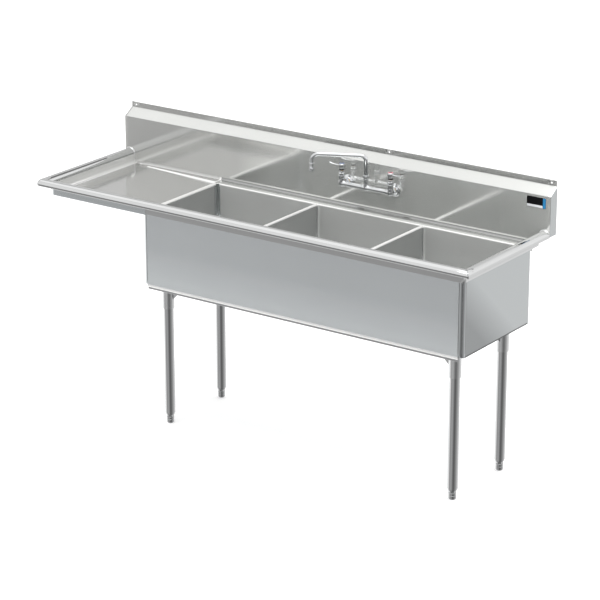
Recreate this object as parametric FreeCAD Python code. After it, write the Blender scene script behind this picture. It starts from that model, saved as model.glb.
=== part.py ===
"""Three compartment sink with a left-hand drainboard, wall-mounted faucet and four legs.

Millimetres, +Z up, the front faces -Y. The origin is on the floor, under the centre of the plan.
Sheet sections are drawn as an outline of the visible face, then thickened to the hidden side.
"""
import FreeCAD, Part
import math
import os

from FreeCAD import Vector

# ---------------------------------------------------------------- driving dimensions
LENGTH = 1930.0
DEPTH = 598.0
SHEET = 1.5

RIM_TOP = 904.0
RIM_LIP = 880.0
RIM_WIDTH = 43.5
RIM_WALL_BOTTOM = 844.0

DECK = 848.0
TUB_BOTTOM = 566.0
BOWL = 457.0
DIVIDER = 13.0
BOWLS = 3
BOWL_TURNDOWN = 12.0
RIDGE_WIDTH = 14.0
TUB_BACK = 507.0
TUB_CORNER_RADIUS = 18.0
TUB_EDGE_RADIUS = 13.5
PAN_HIGH = 846.0
PAN_LOW = 840.0
PAN_FLANGE = 14.0

SPLASH_FACE = 553.0
SPLASH_BEND = 1032.0
FLANGE_BOTTOM = 1060.0
SPLASH_TOP = 1082.0
CAP_BOTTOM = 882.0
SCREW_HOLE_RADIUS = 3.5
SCREW_INSET = 24.0
SCREW_THIRD = 1217.0
INLET_CLEARANCE = 1.0
LABEL_BOX = (1832.0, 984.0, 1910.0, 1023.0)

LEG_X = (548.0, 1816.0)
LEG_Y = (113.0, 438.0)
LEG_RADIUS = 19.05
LEG_WALL = 1.5
LEG_BOTTOM = 43.0
SOCKET_RADIUS = 23.0
SOCKET_BOTTOM = 466.0
GUSSET_REACH = 60.0
GUSSET_EDGE = 540.0
GUSSET_LOW = 503.0
PLATE_REACH = 50.0
PLATE = 3.0
SET_SCREW_RADIUS = 3.0
SET_SCREW_RISE = 15.0
INSERT_LENGTH = 35.0
FOOT_RADIUS = 14.0
FOOT_EDGE_RADIUS = 6.0
FOOT_PAD_TOP = 26.0
FOOT_GRIP_FLATS = 24.0
FOOT_GRIP_TOP = 35.0
FOOT_COLLAR_RADIUS = 16.0
FOOT_STEM_RADIUS = 8.0
FOOT_STEM_LENGTH = 62.0
RUNNING_GAP = 0.05

FAUCET_X = 1169.0
FAUCET_Y = 515.0
FAUCET_Z = 945.0
INLET_SPACING = 203.2
VALVE_SPACING = 216.0
BAR_RADIUS = 11.0
VALVE_RADIUS = 12.0
VALVE_TOP = 976.0
HUB_RADIUS = 10.5
HUB_TOP = 981.0
INLET_REACH = 13.0
INLET_RADIUS = 11.0
UNION_FLATS = 30.0
UNION_LENGTH = 13.0
SHANK_RADIUS = 11.0
SHANK_BORE_RADIUS = 7.0
THREAD_RADIUS = 10.65
SHANK_END = 592.0
SHANK_NUT_FLATS = 36.0
SHANK_NUT_LENGTH = 9.0
WALL_FLANGE_RADIUS = 26.0
WALL_FLANGE_PLATE = 3.0
WALL_FLANGE_CONE = 6.0
WALL_FLANGE_NECK = 15.0
BONNET_FLATS = 21.0
BONNET_NUT_HEIGHT = 10.0
BONNET_NECK_HEIGHT = 8.0
BONNET_NECK_FOOT = 10.0
BONNET_NECK_TIP = 8.0
STEM_RADIUS = 5.0
STEM_FOOT_RADIUS = 7.9
STEM_FOOT_BOTTOM = 954.0
STEM_FOOT_TOP = 976.0
STEM_CAP = 8.0
COLLAR_RADIUS = 10.5
COLLAR_BOTTOM = 996.0
HANDLE_BOTTOM = 1001.0
HANDLE_TOP = 1021.0
HANDLE_RADIUS = 12.5
HANDLE_FOOT_RADIUS = 10.0
HANDLE_FLARE = 10.0
LEVER_LENGTH = 56.0
LEVER_WIDTH = 12.0
BUTTON_RADIUS = 9.5
BUTTON_DEPTH = 1.5
BUTTON_HEIGHT = 2.5
BUTTON_DOME = 1.2
SWING_NUT_FLATS = 20.5
SWING_NUT_HEIGHT = 10.0
SWING_COLLAR_RADIUS = 11.0
SWING_COLLAR_HEIGHT = 3.0
SPOUT_REACH = 203.0
SPOUT_LEVEL = 1067.0
SPOUT_RADIUS = 8.0
SPOUT_WALL = 1.2
SPOUT_BENDS = (20.0, 28.0)
SPOUT_SWING = 26.0
SPOUT_OUTLET = 999.0
TIP_RADIUS = 10.0
TIP_LENGTH = 34.0
TIP_BORE_RADIUS = 6.0
TIP_OVERLAP = 16.0

DRAIN_HOLE_RADIUS = 44.5
DRAIN_FLANGE_RADIUS = 56.0
DRAIN_CUP_RADIUS = 42.5
DRAIN_CUP_BOTTOM = 520.0
DRAIN_NECK_RADIUS = 24.1
DRAIN_NECK_BOTTOM = 498.0
BASKET_FLANGE_RADIUS = 39.0
BASKET_RADIUS = 33.0
BASKET_SEAT = 556.0
BASKET_DEPTH = 24.0
BASKET_WALL = 1.0
BASKET_SLOTS = 12
BASKET_POST_RADIUS = 3.0
STOPPER_HEIGHT = 4.0
DRAIN_NUT_HEIGHT = 9.0
GASKET_HEIGHT = 3.0

# ---------------------------------------------------------------- worked-out places
BOWL_LEFT = LENGTH - RIM_WIDTH - SHEET - BOWLS * BOWL - (BOWLS - 1) * DIVIDER
BOWL_RIGHT = BOWL_LEFT + BOWLS * BOWL + (BOWLS - 1) * DIVIDER
TUB_LEFT = BOWL_LEFT - SHEET
TUB_RIGHT = BOWL_RIGHT + SHEET
TUB_FRONT = RIM_WIDTH
BOWL_FRONT = TUB_FRONT + SHEET
BOWL_BACK = TUB_BACK - SHEET
PITCH = BOWL + DIVIDER
BOWL_FLOOR = TUB_BOTTOM + SHEET
TURNDOWN_BOTTOM = DECK - BOWL_TURNDOWN
BOWL_CENTRES = [BOWL_LEFT + BOWL / 2 + i * PITCH for i in range(BOWLS)]
BOWL_CENTRE_Y = (BOWL_FRONT + BOWL_BACK) / 2
VALVES_X = (FAUCET_X - VALVE_SPACING / 2, FAUCET_X + VALVE_SPACING / 2)
INLETS_X = (FAUCET_X - INLET_SPACING / 2, FAUCET_X + INLET_SPACING / 2)
CENTRE = Vector(-LENGTH / 2, -DEPTH / 2, 0)

UP = Vector(0, 0, 1)
ALONG_X = Vector(1, 0, 0)
ALONG_Y = Vector(0, 1, 0)


# ---------------------------------------------------------------- helpers
def block(x0, x1, y0, y1, z0, z1):
    """A box between two corners; x and y are measured from the left front corner."""
    return Part.makeBox(x1 - x0, y1 - y0, z1 - z0, Vector(x0, y0, z0))


def rod(radius, start, length, axis=UP):
    return Part.makeCylinder(radius, length, start, axis)


def tube(outer, inner, start, length, axis=UP):
    return rod(outer, start, length, axis).cut(rod(inner, start, length, axis))


def cone(r0, r1, start, length, axis=UP):
    return Part.makeCone(r0, r1, length, start, axis)


def hexagon(across_flats, start, length, axis=UP):
    """A hexagonal bar that starts at a point and runs along an axis."""
    radius = across_flats / math.sqrt(3.0)
    angles = [math.radians(60 * i) for i in range(6)]
    corners = [Vector(radius * math.cos(a), radius * math.sin(a), 0) for a in angles]
    prism = Part.Face(Part.makePolygon(corners + corners[:1])).extrude(Vector(0, 0, length))
    prism.Placement = FreeCAD.Placement(start, FreeCAD.Rotation(UP, axis))
    return prism


def join(*solids):
    """One solid from several that overlap or touch."""
    return solids[0].multiFuse(list(solids[1:])).removeSplitter()


def offset_outline(points, distance):
    """The corners of an open outline moved to its left by a distance."""
    lines = []
    for (ax, ay), (bx, by) in zip(points, points[1:]):
        size = math.hypot(bx - ax, by - ay)
        direction = ((bx - ax) / size, (by - ay) / size)
        lines.append(((ax - direction[1] * distance, ay + direction[0] * distance), direction))
    moved = [lines[0][0]]
    for (first, d1), (second, d2) in zip(lines, lines[1:]):
        cross = d1[0] * d2[1] - d1[1] * d2[0]
        step = ((second[0] - first[0]) * d2[1] - (second[1] - first[1]) * d2[0]) / cross
        moved.append((first[0] + d1[0] * step, first[1] + d1[1] * step))
    last, direction = lines[-1]
    size = math.hypot(points[-1][0] - points[-2][0], points[-1][1] - points[-2][1])
    moved.append((last[0] + direction[0] * size, last[1] + direction[1] * size))
    return moved


def bent_edges(points, radii, place):
    """Lines and tangent arcs through an open outline, as edges in space."""
    edges = []
    start = points[0]
    for before, corner, after, radius in zip(points, points[1:], points[2:], radii):
        u = (before[0] - corner[0], before[1] - corner[1])
        v = (after[0] - corner[0], after[1] - corner[1])
        lu, lv = math.hypot(*u), math.hypot(*v)
        u, v = (u[0] / lu, u[1] / lu), (v[0] / lv, v[1] / lv)
        half = math.acos(max(-1.0, min(1.0, u[0] * v[0] + u[1] * v[1]))) / 2
        reach = radius / math.tan(half)
        enter = (corner[0] + u[0] * reach, corner[1] + u[1] * reach)
        leave = (corner[0] + v[0] * reach, corner[1] + v[1] * reach)
        middle = (u[0] + v[0], u[1] + v[1])
        size = math.hypot(*middle)
        sag = radius / math.sin(half) - radius
        middle = (corner[0] + middle[0] / size * sag, corner[1] + middle[1] / size * sag)
        if math.hypot(enter[0] - start[0], enter[1] - start[1]) > 1e-6:
            edges.append(Part.LineSegment(place(start), place(enter)).toShape())
        edges.append(Part.Arc(place(enter), place(middle), place(leave)).toShape())
        start = leave
    edges.append(Part.LineSegment(place(start), place(points[-1])).toShape())
    return edges


def turns_left(a, b, c):
    return (b[0] - a[0]) * (c[1] - b[1]) - (b[1] - a[1]) * (c[0] - b[0]) > 0


def bent_sheet(points, radii, hidden_side, place, run):
    """A bent sheet: its visible outline, bend radii on that face, and which side it is thickened to.

    hidden_side is +1 when the thickness lies left of the outline's direction, -1 when it lies right.
    """
    hidden = offset_outline(points, SHEET * hidden_side)
    hidden_radii = []
    for a, b, c, radius in zip(points, points[1:], points[2:], radii):
        inward = turns_left(a, b, c) == (hidden_side > 0)
        hidden_radii.append(radius - SHEET if inward else radius + SHEET)
    edges = bent_edges(points, radii, place)
    edges.append(Part.LineSegment(place(points[-1]), place(hidden[-1])).toShape())
    edges += bent_edges(hidden[::-1], hidden_radii[::-1], place)
    edges.append(Part.LineSegment(place(hidden[0]), place(points[0])).toShape())
    wire = Part.Wire(Part.__sortEdges__(edges))
    return Part.Face(wire).extrude(run)


def across(x):
    """Places a (y, z) outline in the plane at x."""
    return lambda p: Vector(x, p[0], p[1])


def along(y):
    """Places an (x, z) outline in the plane at y."""
    return lambda p: Vector(p[0], y, p[1])


def save(name, solid):
    """Moves a solid from the corner frame to the centred frame and writes it."""
    placed = solid.copy()
    placed.translate(CENTRE)
    placed.exportStep("parts/%s.step" % name)


# ---------------------------------------------------------------- rims
def rim_outline():
    """Distance in from the outer edge, and height: wall, half-round roll, lip."""
    points = [(RIM_WIDTH, RIM_WALL_BOTTOM), (RIM_WIDTH, RIM_TOP), (0.0, RIM_TOP), (0.0, RIM_LIP)]
    return points, [RIM_WIDTH / 2, RIM_WIDTH / 2]


def mitre(x, inward):
    """The half of the plan, as a tall wedge, on the front side of a 45 degree corner cut."""
    far = LENGTH
    corners = [Vector(x, 0, 0), Vector(x + inward * far, far, 0), Vector(x + inward * far, -far, 0),
               Vector(x, -far, 0), Vector(x, 0, 0)]
    return Part.Face(Part.makePolygon(corners)).extrude(Vector(0, 0, RIM_TOP * 2))


def front_rim():
    points, radii = rim_outline()
    sheet = bent_sheet(points, radii, 1, across(0), Vector(LENGTH, 0, 0))
    return sheet.common(mitre(0, 1)).common(mitre(LENGTH, -1))


def side_rim(left):
    points, radii = rim_outline()
    if not left:
        points = [(LENGTH - s, z) for s, z in points]
    sheet = bent_sheet(points, radii, 1 if left else -1, along(0), Vector(0, SPLASH_FACE, 0))
    return sheet.cut(mitre(0 if left else LENGTH, 1 if left else -1))


# ---------------------------------------------------------------- drainboard
def drainboard_pan():
    """Sloping floor, a flange up the left wall, and the rounded ridge that turns down into the bowl."""
    left = RIM_WIDTH + SHEET
    ridge = BOWL_LEFT - RIDGE_WIDTH
    points = [(left, PAN_HIGH + PAN_FLANGE), (left, PAN_HIGH), (ridge - 6.0, PAN_LOW), (ridge, DECK),
              (BOWL_LEFT, DECK), (BOWL_LEFT, TURNDOWN_BOTTOM)]
    radii = [8.0, 3.0, 5.0, 5.0]
    length = SPLASH_FACE - RIM_WIDTH
    pan = bent_sheet(points, radii, -1, along(RIM_WIDTH), Vector(0, length, 0))
    beside_ledge = block(ridge, BOWL_LEFT + 1, BOWL_BACK, DEPTH, TUB_BOTTOM, RIM_TOP)
    return pan.cut(beside_ledge)


# ---------------------------------------------------------------- tub
def tub_block(inset):
    """The tub's outside when inset is 0, or its inside when inset is the sheet: rounded upright
    corners, and a rounded lower edge along the front and the back."""
    x0, x1 = TUB_LEFT + inset, TUB_RIGHT - inset
    y0, y1 = TUB_FRONT + inset, TUB_BACK - inset
    z0, top = TUB_BOTTOM + inset, DECK
    prism = block(x0, x1, y0, y1, z0, top)
    upright = [e for e in prism.Edges if abs(e.Vertexes[0].Z - e.Vertexes[1].Z) > 1.0]
    prism = prism.makeFillet(TUB_CORNER_RADIUS - inset, upright)
    radius = TUB_EDGE_RADIUS - inset
    outline = bent_edges([(y0, top), (y0, z0), (y1, z0), (y1, top)], [radius, radius], across(x0))
    outline.append(Part.LineSegment(Vector(x0, y1, top), Vector(x0, y0, top)).toShape())
    trough = Part.Face(Part.Wire(Part.__sortEdges__(outline))).extrude(Vector(x1 - x0, 0, 0))
    return prism.common(trough)


def tub_parts():
    """The folded and welded tub, parted where its sheets are welded together."""
    inside = tub_block(SHEET)
    shell = tub_block(0.0).cut(inside)
    shell = shell.cut(block(0, LENGTH, BOWL_BACK - 1, DEPTH, TURNDOWN_BOTTOM, RIM_TOP))
    shell = shell.cut(block(0, BOWL_LEFT + 1, 0, DEPTH, TURNDOWN_BOTTOM, RIM_TOP))
    for x in BOWL_CENTRES:
        hole = rod(DRAIN_HOLE_RADIUS, Vector(x, BOWL_CENTRE_Y, TUB_BOTTOM - 5), 10)
        shell = shell.cut(hole)
    x0, x1 = TUB_LEFT + TUB_CORNER_RADIUS, TUB_RIGHT - TUB_CORNER_RADIUS
    y0, y1 = TUB_FRONT + TUB_CORNER_RADIUS, TUB_BACK - TUB_CORNER_RADIUS
    bend = TUB_BOTTOM + TUB_EDGE_RADIUS
    centre_y = BOWL_CENTRE_Y
    cuts = {
        "tub_bottom": block(x0, x1, 0, DEPTH, 0, bend),
        "tub_front": block(x0, x1, 0, centre_y, bend, RIM_TOP),
        "tub_back": block(x0, x1, centre_y, DEPTH, bend, RIM_TOP),
        "tub_left_end": block(0, x0, y0, y1, 0, RIM_TOP),
        "tub_right_end": block(x1, LENGTH, y0, y1, 0, RIM_TOP),
    }
    pieces = {name: shell.common(region) for name, region in cuts.items()}
    corners = [shell.common(block(xa, xb, ya, yb, 0, RIM_TOP))
               for xa, xb in ((0, x0), (x1, LENGTH)) for ya, yb in ((0, y0), (y1, DEPTH))]
    pieces["tub_corners"] = Part.Compound([c.Solids[0] for c in corners])
    return pieces, inside


def divider(index, inside):
    """A folded sheet between two bowls, open below, with a round top."""
    x0 = BOWL_LEFT + (index + 1) * BOWL + index * DIVIDER
    x1 = x0 + DIVIDER
    points = [(x0, BOWL_FLOOR), (x0, DECK), (x1, DECK), (x1, BOWL_FLOOR)]
    radius = DIVIDER / 2 - 0.1
    run = Vector(0, BOWL_BACK - BOWL_FRONT, 0)
    return bent_sheet(points, [radius, radius], -1, along(BOWL_FRONT), run).common(inside)


# ---------------------------------------------------------------- backsplash
def backsplash():
    """One bent sheet: splash face, sloping return and screw flange. Behind the bowls it also has the
    ledge and the turn-down into them; over the drainboard it runs straight down to the pan."""
    flange_y = DEPTH - SHEET
    upper = [(SPLASH_FACE, SPLASH_BEND), (flange_y, FLANGE_BOTTOM), (flange_y, SPLASH_TOP)]
    ledge = [(BOWL_BACK, TURNDOWN_BOTTOM), (BOWL_BACK, DECK), (SPLASH_FACE, DECK)]
    straight = [(SPLASH_FACE, PAN_LOW - SHEET)]
    ridge = BOWL_LEFT - RIDGE_WIDTH
    bowls_run = ALONG_X * (LENGTH - SHEET - ridge)
    pan_run = ALONG_X * (ridge - SHEET)
    behind_bowls = bent_sheet(ledge + upper, [5.0, 10.0, 3.0, 3.0], -1, across(ridge), bowls_run)
    behind_pan = bent_sheet(straight + upper, [3.0, 3.0], -1, across(SHEET), pan_run)
    sheet = join(behind_bowls, behind_pan)
    for x0, x1 in ((0, RIM_WIDTH), (LENGTH - RIM_WIDTH, LENGTH)):
        sheet = sheet.cut(block(x0, x1, 0, DEPTH, TUB_BOTTOM, CAP_BOTTOM))
    for x in INLETS_X:
        start = Vector(x, SPLASH_FACE - SHEET, FAUCET_Z)
        sheet = sheet.cut(rod(SHANK_RADIUS + INLET_CLEARANCE, start, 3 * SHEET, ALONG_Y))
    for x in (SCREW_INSET, SCREW_THIRD, LENGTH - SCREW_INSET):
        start = Vector(x, DEPTH - 2 * SHEET, (FLANGE_BOTTOM + SPLASH_TOP) / 2)
        sheet = sheet.cut(rod(SCREW_HOLE_RADIUS, start, 3 * SHEET, ALONG_Y))
    return sheet


def splash_cap(left):
    """The flat end cap of the splash box."""
    x = 0.0 if left else LENGTH - SHEET
    outline = [(SPLASH_FACE, CAP_BOTTOM), (DEPTH, CAP_BOTTOM), (DEPTH, FLANGE_BOTTOM),
               (SPLASH_FACE, SPLASH_BEND)]
    corners = [Vector(x, y, z) for y, z in outline]
    return Part.Face(Part.makePolygon(corners + corners[:1])).extrude(Vector(SHEET, 0, 0))


def label():
    """A plain sticker on the splash face."""
    x0, z0, x1, z1 = LABEL_BOX
    return block(x0, x1, SPLASH_FACE - 0.6, SPLASH_FACE, z0, z1)


# ---------------------------------------------------------------- legs
def leg_socket(x, y):
    """A plate under the tub, a round socket and two gussets towards the tub's middle."""
    top = TUB_BOTTOM - PLATE
    reach = PLATE_REACH
    plate = block(x - reach, x + reach, y - reach, y + reach, top, TUB_BOTTOM)
    body = rod(SOCKET_RADIUS, Vector(x, y, SOCKET_BOTTOM), top - SOCKET_BOTTOM)
    outline = [(0, top), (GUSSET_REACH, top), (GUSSET_REACH, GUSSET_EDGE),
               (SOCKET_RADIUS, GUSSET_LOW), (0, GUSSET_LOW)]
    corners = [Vector(x + u, y - PLATE / 2, z) for u, z in outline]
    socket = join(plate, body)
    inward_x = 0 if x < (TUB_LEFT + TUB_RIGHT) / 2 else 180
    inward_y = 90 if y < DEPTH / 2 else 270
    for turn in (inward_x, inward_y):
        fin = Part.Face(Part.makePolygon(corners + corners[:1])).extrude(ALONG_Y * PLATE)
        fin.rotate(Vector(x, y, 0), UP, turn)
        socket = join(socket, fin)
    bore = rod(LEG_RADIUS, Vector(x, y, SOCKET_BOTTOM - 1), top - SOCKET_BOTTOM + 1)
    screw_start = Vector(x, y, SOCKET_BOTTOM + SET_SCREW_RISE)
    return socket.cut(bore).cut(rod(SET_SCREW_RADIUS, screw_start, SOCKET_RADIUS + 1, ALONG_Y))


def leg_outside(x, y):
    return rod(LEG_RADIUS, Vector(x, y, LEG_BOTTOM), TUB_BOTTOM - PLATE - LEG_BOTTOM)


def set_screw(x, y):
    """A socket set screw that bears on the leg tube from behind."""
    start = Vector(x, y + LEG_RADIUS, SOCKET_BOTTOM + SET_SCREW_RISE)
    screw = rod(SET_SCREW_RADIUS, start, 7, ALONG_Y)
    drive = hexagon(SET_SCREW_RADIUS, start + ALONG_Y * 4, 3, ALONG_Y)
    return screw.cut(drive).cut(leg_outside(x, y))


def leg_tube(x, y):
    start = Vector(x, y, LEG_BOTTOM)
    return leg_outside(x, y).cut(rod(LEG_RADIUS - LEG_WALL, start, TUB_BOTTOM - LEG_BOTTOM))


def leg_insert(x, y):
    """The threaded plug in the lower end of a leg tube."""
    start = Vector(x, y, LEG_BOTTOM)
    return tube(LEG_RADIUS - LEG_WALL, FOOT_STEM_RADIUS + RUNNING_GAP, start, INSERT_LENGTH)


def foot(x, y):
    """A bullet foot: rounded pad, six-sided grip, collar and threaded stem."""
    pad = rod(FOOT_RADIUS, Vector(x, y, 0), FOOT_PAD_TOP)
    rim = [e for e in pad.Edges if abs(e.BoundBox.ZMax) < 1e-6]
    pad = pad.makeFillet(FOOT_EDGE_RADIUS, rim)
    grip = hexagon(FOOT_GRIP_FLATS, Vector(x, y, FOOT_PAD_TOP), FOOT_GRIP_TOP - FOOT_PAD_TOP)
    collar = rod(FOOT_COLLAR_RADIUS, Vector(x, y, FOOT_GRIP_TOP), LEG_BOTTOM - FOOT_GRIP_TOP)
    stem = rod(FOOT_STEM_RADIUS, Vector(x, y, LEG_BOTTOM), FOOT_STEM_LENGTH)
    return join(pad, grip, collar, stem)


# ---------------------------------------------------------------- faucet
def faucet_body():
    """Cast bar with a valve barrel at each end, a spout hub and two inlet stubs towards the wall."""
    left, right = VALVES_X
    pieces = [rod(BAR_RADIUS, Vector(left, FAUCET_Y, FAUCET_Z), right - left, ALONG_X)]
    base = FAUCET_Z - BAR_RADIUS
    for x in VALVES_X:
        pieces.append(rod(VALVE_RADIUS, Vector(x, FAUCET_Y, base), VALVE_TOP - base))
    pieces.append(rod(HUB_RADIUS, Vector(FAUCET_X, FAUCET_Y, base), HUB_TOP - base))
    for x in INLETS_X:
        pieces.append(rod(INLET_RADIUS, Vector(x, FAUCET_Y, FAUCET_Z), INLET_REACH, ALONG_Y))
    body = join(*pieces)
    for x in VALVES_X:
        body = body.cut(rod(STEM_FOOT_RADIUS + 0.1, Vector(x, FAUCET_Y, FAUCET_Z), VALVE_TOP))
    return body.cut(rod(SPOUT_RADIUS - 2, Vector(FAUCET_X, FAUCET_Y, FAUCET_Z), HUB_TOP))


def inlet_nut(x):
    """The union nut between an inlet stub and its shank."""
    start = Vector(x, FAUCET_Y + INLET_REACH, FAUCET_Z)
    bore = rod(SHANK_RADIUS, start, UNION_LENGTH, ALONG_Y)
    return hexagon(UNION_FLATS, start, UNION_LENGTH, ALONG_Y).cut(bore)


def wall_flange(x):
    """The round cover plate on the splash."""
    start = Vector(x, SPLASH_FACE, FAUCET_Z)
    plate = rod(WALL_FLANGE_RADIUS, start, WALL_FLANGE_PLATE, -ALONG_Y)
    front = start - ALONG_Y * WALL_FLANGE_PLATE
    cover = join(plate, cone(WALL_FLANGE_RADIUS - 2, WALL_FLANGE_NECK, front, WALL_FLANGE_CONE, -ALONG_Y))
    return cover.cut(rod(SHANK_RADIUS, start, WALL_FLANGE_PLATE + WALL_FLANGE_CONE, -ALONG_Y))


def shank(x):
    """The shank through the splash, with a supply thread behind its nut."""
    start = Vector(x, FAUCET_Y + INLET_REACH, FAUCET_Z)
    shoulder = Vector(x, SPLASH_FACE + SHEET + SHANK_NUT_LENGTH, FAUCET_Z)
    body = rod(SHANK_RADIUS, start, shoulder.y - start.y, ALONG_Y)
    thread = rod(THREAD_RADIUS, shoulder, SHANK_END - shoulder.y, ALONG_Y)
    return join(body, thread).cut(rod(SHANK_BORE_RADIUS, start, SHANK_END - start.y, ALONG_Y))


def shank_nut(x):
    start = Vector(x, SPLASH_FACE + SHEET, FAUCET_Z)
    bore = rod(SHANK_RADIUS, start, SHANK_NUT_LENGTH, ALONG_Y)
    return hexagon(SHANK_NUT_FLATS, start, SHANK_NUT_LENGTH, ALONG_Y).cut(bore)


def bonnet(x):
    """The bonnet nut that closes a valve barrel."""
    start = Vector(x, FAUCET_Y, VALVE_TOP)
    neck = cone(BONNET_NECK_FOOT, BONNET_NECK_TIP, start + UP * BONNET_NUT_HEIGHT, BONNET_NECK_HEIGHT)
    nut = join(hexagon(BONNET_FLATS, start, BONNET_NUT_HEIGHT), neck)
    bore = rod(STEM_RADIUS + RUNNING_GAP, start, BONNET_NUT_HEIGHT + BONNET_NECK_HEIGHT)
    return nut.cut(bore)


def stem(x):
    """The valve spindle that a handle turns."""
    foot_start = Vector(x, FAUCET_Y, STEM_FOOT_BOTTOM)
    stem_start = Vector(x, FAUCET_Y, STEM_FOOT_TOP)
    lower = rod(STEM_FOOT_RADIUS, foot_start, STEM_FOOT_TOP - STEM_FOOT_BOTTOM)
    upper = rod(STEM_RADIUS, stem_start, HANDLE_TOP - STEM_CAP - STEM_FOOT_TOP)
    return join(lower, upper)


def handle_collar(x):
    start = Vector(x, FAUCET_Y, COLLAR_BOTTOM)
    return tube(COLLAR_RADIUS, STEM_RADIUS, start, HANDLE_BOTTOM - COLLAR_BOTTOM)


def lever_handle(x, outward):
    """Round hub and a flat lever that points away from the spout."""
    start = Vector(x, FAUCET_Y, HANDLE_BOTTOM)
    hub = cone(HANDLE_FOOT_RADIUS, HANDLE_RADIUS, start, HANDLE_FLARE)
    barrel = HANDLE_TOP - HANDLE_BOTTOM - HANDLE_FLARE
    hub = join(hub, rod(HANDLE_RADIUS, start + UP * HANDLE_FLARE, barrel))
    root, tip = HANDLE_TOP - 12, HANDLE_TOP - 2
    outline = [(0, root), (LEVER_LENGTH, tip - 3), (LEVER_LENGTH, tip + 1), (0, root + 8)]
    corners = [Vector(x + outward * u, FAUCET_Y - LEVER_WIDTH / 2, z) for u, z in outline]
    blade = Part.Face(Part.makePolygon(corners + corners[:1])).extrude(ALONG_Y * LEVER_WIDTH)
    upright = [e for e in blade.Edges if e.BoundBox.XLength < 0.01 and e.BoundBox.YLength < 0.01
               and abs(e.CenterOfMass.x - x) > LEVER_LENGTH - 1]
    blade = blade.makeFillet(LEVER_WIDTH / 2 - 0.5, upright)
    handle = join(hub, blade)
    stem_hole = rod(STEM_RADIUS, start, HANDLE_TOP - HANDLE_BOTTOM - STEM_CAP)
    button_seat = rod(BUTTON_RADIUS, Vector(x, FAUCET_Y, HANDLE_TOP - BUTTON_DEPTH), 5)
    return handle.cut(stem_hole).cut(button_seat)


def index_button(x):
    start = Vector(x, FAUCET_Y, HANDLE_TOP - BUTTON_DEPTH)
    dome = cone(BUTTON_RADIUS, BUTTON_RADIUS - 2, start + UP * BUTTON_HEIGHT, BUTTON_DOME)
    return join(rod(BUTTON_RADIUS, start, BUTTON_HEIGHT), dome)


def swing_nut():
    """The hub nut that holds the spout down; the spout turns inside it."""
    start = Vector(FAUCET_X, FAUCET_Y, HUB_TOP)
    collar = rod(SWING_COLLAR_RADIUS, start + UP * SWING_NUT_HEIGHT, SWING_COLLAR_HEIGHT)
    nut = join(hexagon(SWING_NUT_FLATS, start, SWING_NUT_HEIGHT), collar)
    bore = rod(SPOUT_RADIUS + RUNNING_GAP, start, SWING_NUT_HEIGHT + SWING_COLLAR_HEIGHT)
    return nut.cut(bore)


def bent_rod(points, bends, radius):
    """A round rod along straight runs joined by tangent arcs."""
    edges = []
    start = points[0]
    for before, corner, after, bend in zip(points, points[1:], points[2:], bends):
        u = (before - corner).normalize()
        v = (after - corner).normalize()
        half = u.getAngle(v) / 2
        reach = bend / math.tan(half)
        middle = corner + (u + v).normalize() * (bend / math.sin(half) - bend)
        edges.append(Part.LineSegment(start, corner + u * reach).toShape())
        edges.append(Part.Arc(corner + u * reach, middle, corner + v * reach).toShape())
        start = corner + v * reach
    edges.append(Part.LineSegment(start, points[-1]).toShape())
    path = Part.Wire(edges)
    circle = Part.Wire(Part.Circle(points[0], points[1] - points[0], radius).toShape())
    return path.makePipeShell([circle], True, True)


def spout_direction():
    angle = math.radians(180 + SPOUT_SWING)
    return Vector(math.cos(angle), math.sin(angle), 0)


def spout():
    base = Vector(FAUCET_X, FAUCET_Y, HUB_TOP)
    end = base + spout_direction() * SPOUT_REACH
    outlet = SPOUT_OUTLET + TIP_LENGTH - TIP_OVERLAP
    points = [base, Vector(base.x, base.y, SPOUT_LEVEL), Vector(end.x, end.y, SPOUT_LEVEL),
              Vector(end.x, end.y, outlet)]
    outside = bent_rod(points, SPOUT_BENDS, SPOUT_RADIUS)
    inside = bent_rod(points, SPOUT_BENDS, SPOUT_RADIUS - SPOUT_WALL)
    return outside.cut(inside)


def spout_tip():
    """The outlet tip screwed on the end of the spout."""
    end = Vector(FAUCET_X, FAUCET_Y, SPOUT_OUTLET) + spout_direction() * SPOUT_REACH
    socket = rod(SPOUT_RADIUS, end + UP * (TIP_LENGTH - TIP_OVERLAP), TIP_OVERLAP)
    sleeve = rod(TIP_RADIUS, end, TIP_LENGTH).cut(socket)
    return sleeve.cut(rod(TIP_BORE_RADIUS, end, TIP_LENGTH))


# ---------------------------------------------------------------- drains
def strainer_body(x):
    """Flange on the bowl floor, cup through the hole with a step for the basket, threaded outlet."""
    centre = Vector(x, BOWL_CENTRE_Y, 0)
    flange = cone(DRAIN_FLANGE_RADIUS, DRAIN_FLANGE_RADIUS - 2.5, centre + UP * BOWL_FLOOR, 2)
    cup = rod(DRAIN_CUP_RADIUS, centre + UP * DRAIN_CUP_BOTTOM, BOWL_FLOOR - DRAIN_CUP_BOTTOM)
    neck_start = centre + UP * DRAIN_NECK_BOTTOM
    cup_floor = DRAIN_CUP_BOTTOM + 3
    neck = rod(DRAIN_NECK_RADIUS, neck_start, DRAIN_CUP_BOTTOM - DRAIN_NECK_BOTTOM)
    body = join(flange, cup, neck)
    mouth = rod(BASKET_FLANGE_RADIUS + 0.5, centre + UP * BASKET_SEAT, 20)
    hollow = rod(BASKET_RADIUS + 2, centre + UP * cup_floor, BASKET_SEAT - cup_floor)
    outlet = rod(DRAIN_NECK_RADIUS - 4, neck_start, BASKET_SEAT - DRAIN_NECK_BOTTOM)
    return body.cut(mouth).cut(hollow).cut(outlet)


def drain_gasket(x):
    start = Vector(x, BOWL_CENTRE_Y, TUB_BOTTOM - GASKET_HEIGHT)
    return tube(DRAIN_FLANGE_RADIUS - 4, DRAIN_CUP_RADIUS, start, GASKET_HEIGHT)


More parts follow.
